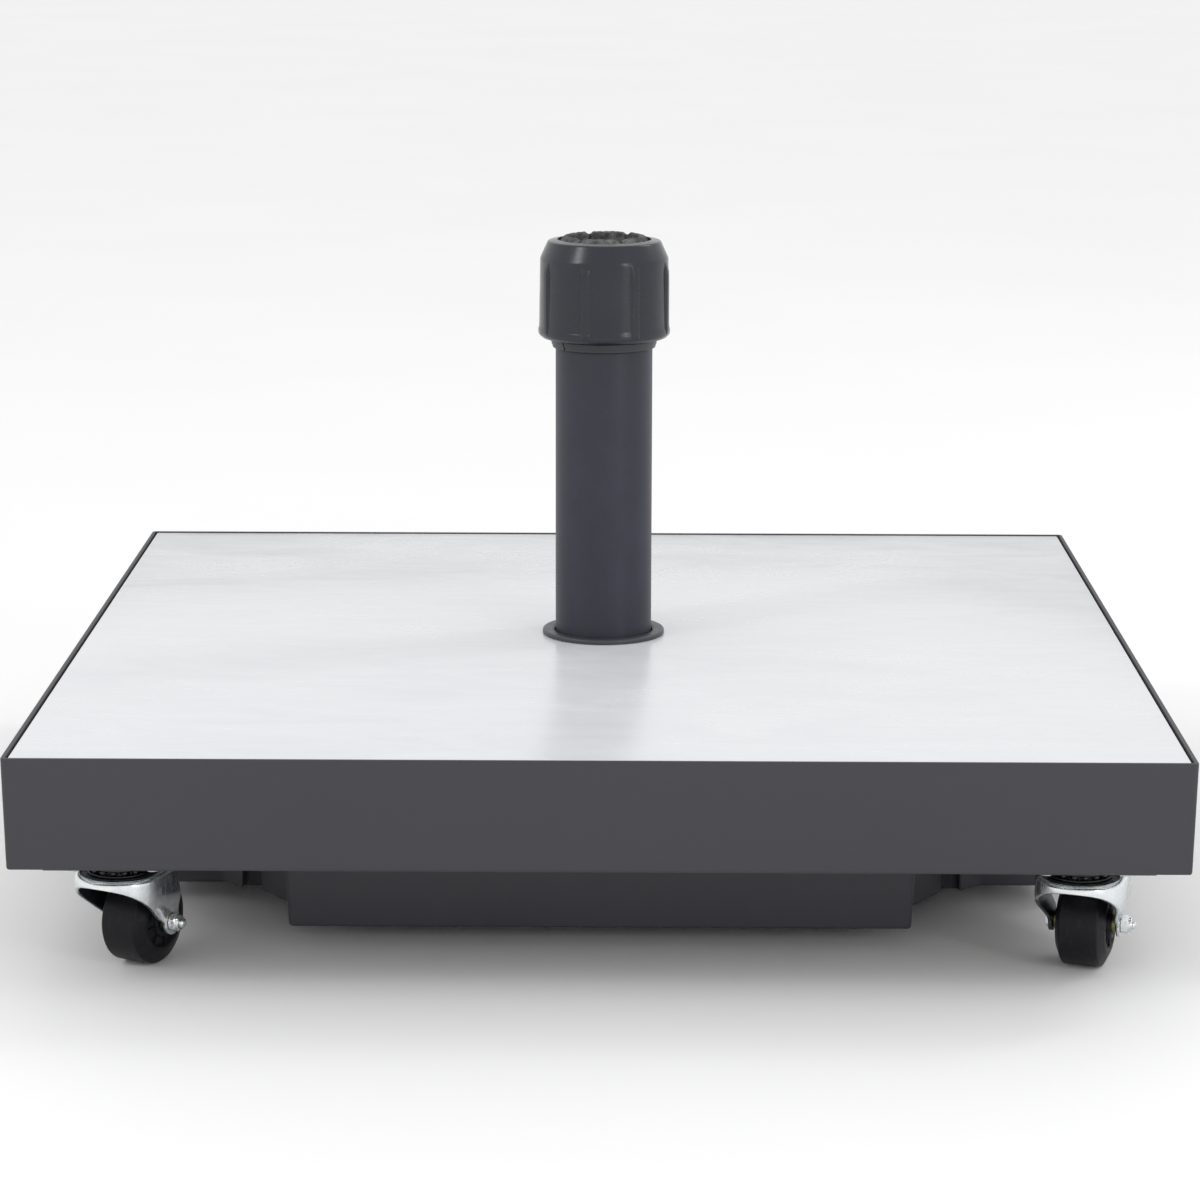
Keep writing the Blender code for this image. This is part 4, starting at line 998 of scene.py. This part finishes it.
def fork_mesh():
    back = TRAIL + BOSS_R + 0.0002
    levels = [(0.011, 0.0)] + [(0.015 + 0.00434 * k, 0.0) for k in range(11)]
    for k in range(1, 9):
        a = math.pi / 2 * k / 8
        levels.append((FORK_TOP - CROWN_ROUND * (1 - math.sin(a)), CROWN_ROUND * (1 - math.cos(a))))
    rings = []
    for z, draw in levels:
        chamfer = 0.0004 + 0.0075 * smooth_step((z - JOGGLE_LOW) / 0.026)
        rings.append([(x, y, z) for x, y in fork_outline(fork_half(z) - draw, back, chamfer)])
    outer = loft("fork_outer", rings)
    side = prism("fork_side", fork_profile(), -0.06, 0.06)
    side.transform(Matrix(((0, 0, 1, 0), (1, 0, 0, 0), (0, 1, 0, 0), (0, 0, 0, 1))))
    body = carve(outer, [side], "INTERSECT")
    ceiling = FORK_TOP - FORK_SHEET
    inner = [(0.007, 0.0)] + [(0.013 + 0.0044 * k, 0.0) for k in range(11)]
    inner = [level for level in inner if level[0] < ceiling - 0.0017]
    for k in range(1, 6):
        a = math.pi / 2 * k / 5
        inner.append((ceiling - 0.0016 * (1 - math.sin(a)), 0.0016 * (1 - math.cos(a))))
    inner_rings = []
    for z, draw in inner:
        inner_rings.append([(x, y, z) for x, y in fork_outline(fork_half(z) - FORK_SHEET - draw, back * 2)])
    pin = prism("pin", square_plan(0.0064, 0.0063, 8), ceiling - 0.004, FORK_TOP + 0.004)
    axle = rod("axle_hole", AXLE_HOLE_R, -0.05, 0.05)
    on_side(axle)
    axle.transform(Matrix.Translation((0.0, TRAIL, AXLE_Z)))
    dish = lathe("dish", soft([(0.0202, FORK_TOP + 0.002, 0.0), (0.0202, FORK_TOP - 0.0008, 0.0004),
                               (0.0232, FORK_TOP - 0.0008, 0.0006), (0.0244, FORK_TOP + 0.0004, 0.0),
                               (0.0244, FORK_TOP + 0.002, 0.0)], 3), 96)
    body = carve(body, [loft("fork_inner", inner_rings), pin, axle])
    body = carve(bevelled(tidy(body, 2e-6), 0.0004, 2, 50.0), [dish])
    return tidy(body, 1e-6)


def wheel_mesh():
    half, radius = WHEEL_HALF, WHEEL_R
    hub_half = 0.0170
    outline = [(0.0060, hub_half, 0.0004), (0.0092, hub_half, 0.0006), (0.0098, 0.0136, 0.0006),
               (0.0152, 0.0133, 0.0005), (0.0166, half, 0.0008), (0.0190, half, 0.0012),
               (radius - 0.0003, 0.0117, 0.0016), (radius, 0.0104, 0.0008), (radius, 0.0006, 0.0)]
    low = [(r, -z, cut) for r, z, cut in reversed(outline)]
    turned = lathe("wheel_body", soft(outline + low, 8), 120)
    seam = lathe("seam", soft([(radius - 0.0003, 0.0003, 0.0), (radius, 0.0002, 0.0), (radius, -0.0002, 0.0),
                               (radius - 0.0003, -0.0003, 0.0)], 2), 120)
    ribs = []
    for face in (1, -1):
        for k in range(8):
            spoke = prism("spoke", [(0.0088, -0.0006), (0.0160, -0.0006), (0.0160, 0.0006), (0.0088, 0.0006)],
                          0.0125, 0.0147)
            spoke = bevelled(spoke, 0.0002, 2, 40.0)
            if face < 0:
                spoke.transform(Matrix.Rotation(math.pi, 4, "X"))
            ribs.append(moved(spoke, turn=math.pi / 4 * k + 0.2))
    return on_side(merged("wheel", [turned, seam] + ribs))


def limit(mesh, reach):
    """Keep a wheel's tread within its CAD radius."""
    for vertex in mesh.vertices:
        r = math.hypot(vertex.co.y, vertex.co.z)
        if r > reach:
            vertex.co.y *= reach / r
            vertex.co.z *= reach / r
    return mesh


def bush_mesh():
    outline = soft([(0.0033, 0.0194, 0.0003), (0.0055, 0.0194, 0.0006), (0.0055, -0.0194, 0.0006),
                    (0.0033, -0.0194, 0.0003)], 3)
    return on_side(lathe("bush", outline, 48))


def axle_mesh():
    head = hex_head("axle_head", 0.010, -SEAT - 0.002, -SEAT, True, False)
    plain = rod("axle_plain", 0.003, -SEAT, 0.0195)
    thread = threaded_rod("axle_thread", 0.003, 0.0190, 0.0307, 0.001, 24, 0.0009)
    return on_side(merged("axle_bolt", [head, plain, thread]))


def nut_mesh():
    """Lock nut: chamfered hexagon with a rounded nylon-insert collar, on a thin washer."""
    thick = 0.0060
    hexed = hex_head("nut_hex", 0.010, SEAT + 0.0003, SEAT + thick * 0.70, False, True)
    bore, collar_r, washer_r = 0.0034, 0.0045, 0.0056
    collar_low, washer_high = SEAT + thick * 0.6, SEAT + 0.0005
    collar_high = SEAT + thick
    collar = lathe("nut_collar", soft([(bore, collar_low, 0.0), (collar_r, collar_low, 0.0),
                                       (collar_r, collar_high, 0.0010), (bore, collar_high, 0.0003)], 4), 40)
    washer = lathe("nut_washer", soft([(bore, SEAT, 0.0), (washer_r, SEAT, 0.0002),
                                       (washer_r, washer_high, 0.0002), (bore, washer_high, 0.0)], 2), 40)
    drill = rod("nut_bore", AXLE_HOLE_R, SEAT - 0.01, SEAT + 0.02)
    return on_side(merged("axle_nut", [carve(hexed, [drill]), collar, washer]))


def race_mesh():
    """Lower and upper race rings with the balls between them."""
    low = FORK_TOP + 0.0003
    high = low + 0.0053
    middle = (low + high) / 2
    rings = []
    for a, b in ((low, low + 0.0013), (high - 0.0013, high)):
        rings.append(lathe("race", soft([(0.0143, a, 0.0004), (0.0194, a, 0.0005), (0.0194, b, 0.0005),
                                         (0.0143, b, 0.0004)], 3), 72))
    for k in range(16):
        shape = bmesh.new()
        bmesh.ops.create_uvsphere(shape, u_segments=16, v_segments=10, radius=0.0020)
        ball = bpy.data.meshes.new("ball")
        shape.to_mesh(ball)
        shape.free()
        angle = 2 * math.pi * k / 16
        rings.append(moved(ball, offset=(0.0170 * math.cos(angle), 0.0170 * math.sin(angle), middle)))
    return merged("ball_race", rings)


def mount_mesh(top):
    bottom = top - MOUNT_SHEET
    plate = prism("mount", square_plan(0.030, 0.006, 8), bottom, top)
    drills = [prism("pin", square_plan(0.0063, 0.0062, 8), bottom - 0.01, top + 0.01)]
    for x in (-BOLT_OFFSET, BOLT_OFFSET):
        for y in (-BOLT_OFFSET, BOLT_OFFSET):
            hole = prism("hole", square_plan(0.0032, 0.0031, 6), bottom - 0.01, top + 0.01)
            hole.transform(Matrix.Translation((x, y, 0.0)))
            drills.append(hole)
    plate = bevelled(carve(plate, drills), 0.0004, 2, 45.0)
    boss_low = FORK_TOP + 0.0059
    boss_high = bottom + 0.0004
    bore = 0.0063
    boss = lathe("boss", soft([(bore, boss_low, 0.0004), (0.0205, boss_low, 0.0010),
                               (0.0215, boss_high, 0.0012), (bore, boss_high, 0.0)], 4), 72)
    return merged("mount_plate", [plate, boss])


def kingpin_mesh(top):
    head_high = FORK_TOP - FORK_SHEET - 0.0003
    head_low = head_high - 0.0027
    shank = 0.0060
    outline = [(0.0, top), (0.0056, top), (shank, top - 0.0004), (shank, head_high), (0.0100, head_high),
               (0.0098, head_high - 0.0009), (0.0086, head_high - 0.0019), (shank, head_low), (0.0, head_low)]
    return lathe("kingpin", outline, 48, solid=True)


def plate_bolts_mesh(bottom):
    """The four low button-head bolts that hold the castor's plate, heads down, on thin washers."""
    parts = []
    seat, crown = bottom - 0.0004, bottom - 0.0019
    for k, (x, y) in enumerate(((1, 1), (-1, 1), (-1, -1), (1, -1))):
        washer = lathe("washer", soft([(0.0032, seat, 0.0), (0.0052, seat, 0.0002), (0.0052, bottom, 0.0002),
                                       (0.0032, bottom, 0.0)], 2), 36)
        head = lathe("head", [(0.0, seat), (0.0046, seat), (0.0046, bottom - 0.0008),
                              (0.0040, bottom - 0.0015), (0.0028, crown), (0.0, crown)], 36, solid=True)
        shank = rod("shank", 0.0029, bottom - 0.001, bottom + 0.0024, 24)
        bolt = merged("bolt", [washer, head, shank])
        parts.append(moved(bolt, offset=(x * BOLT_OFFSET, y * BOLT_OFFSET, 0.0), turn=0.3 * k))
    return merged("plate_bolts", parts)


def make_castors():
    plate_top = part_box("front_left_mount_plate")[1].z
    fork, wheel, bush, axle = fork_mesh(), limit(wheel_mesh(), WHEEL_R), bush_mesh(), axle_mesh()
    nut, race, mount, pin = nut_mesh(), race_mesh(), mount_mesh(plate_top), kingpin_mesh(plate_top - 0.0003)
    bolts = plate_bolts_mesh(plate_top - MOUNT_SHEET)
    for corner in CORNERS:
        low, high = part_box(f"{corner}_mount_plate")
        centre = ((low.x + high.x) / 2, (low.y + high.y) / 2, 0.0)
        axis = joints[f"{corner}_roll"]["axis"]
        yaw = math.atan2(axis[1], axis[0])
        still = Matrix.Translation(centre)
        swung = still @ Matrix.Rotation(yaw, 4, "Z")
        hub = swung @ Matrix.Translation((0.0, TRAIL, AXLE_Z))
        swivel, roller = f"{corner}_castor", f"{corner}_roller"
        for name, mesh, material, slot, body, node, place in (
            ("castor_plate", mount, ZINC, "zinc_plate", "base", "mount_plate", still),
            ("castor_rivet", pin, ZINC, "zinc_plate", "base", "kingpin", still),
            ("castor_bolts", bolts, BOLT_STEEL, "bolt_steel", "base", None, still),
            ("castor_race", race, RACE_STEEL, "race_steel", swivel, "ball_race", swung),
            ("castor_fork", fork, FORK_ZINC, "zinc_plate", swivel, "fork", swung),
            ("castor_bush", bush, BRASS, "bush_brass", swivel, "bush", hub),
            ("castor_axle", axle, AXLE_STEEL, "zinc_plate", swivel, "axle_bolt", hub),
            ("castor_nut", nut, AXLE_STEEL, "zinc_plate", swivel, "axle_nut", hub),
            ("castor_wheel", wheel, WHEEL_BLACK, "wheel_plastic", roller, "wheel", hub),
        ):
            nodes = [f"{corner}_{node}"] if node else []
            piece(f"{corner}_{name}", mesh, material, body, nodes, place)
        dress(f"{corner}_corner_plate", PLATE_COAT)


# ---------------------------------------------------------------- studio

def area_light(name, place, target, size, power):
    data = bpy.data.lights.new(name, "AREA")
    data.shape = "RECTANGLE"
    data.size, data.size_y = size
    data.energy = power
    light = bpy.data.objects.new(name, data)
    bpy.context.scene.collection.objects.link(light)
    light.location = place
    light.rotation_euler = (Vector(target) - Vector(place)).to_track_quat("-Z", "Y").to_euler()


def make_studio():
    reach = 30.0
    mesh = bpy.data.meshes.new("studio_floor")
    corners = [(-reach, -reach, 0.0), (reach, -reach, 0.0), (reach, reach, 0.0), (-reach, reach, 0.0)]
    mesh.from_pydata(corners, [], [(0, 1, 2, 3)])
    mesh.materials.append(floor_surface())
    floor = bpy.data.objects.new("studio_floor", mesh)
    bpy.context.scene.collection.objects.link(floor)
    floor.location.z = -0.0005
    world = bpy.data.worlds.new("studio_air")
    world.use_nodes = True
    world.node_tree.nodes["Background"].inputs["Color"].default_value = (1.0, 1.0, 1.0, 1.0)
    world.node_tree.nodes["Background"].inputs["Strength"].default_value = 0.95
    bpy.context.scene.world = world
    bpy.context.scene.view_settings.view_transform = "Standard"
    area_light("key", (-2.6, -1.8, 2.5), (0.0, 0.0, 0.25), (0.7, 1.4), 22.0)
    area_light("strip", (2.1, -2.5, 1.2), (0.0, 0.0, 0.25), (0.4, 1.8), 14.0)
    area_light("rim", (2.4, 1.0, 2.4), (0.0, 0.0, 0.35), (0.5, 1.0), 13.0)


make_camera()
make_frame()
make_top_plate()
make_tray()
make_tube()
make_foot_bolts()
make_cover_ring()
make_collar()
make_cap()
make_jaws()
make_castors()
make_studio()
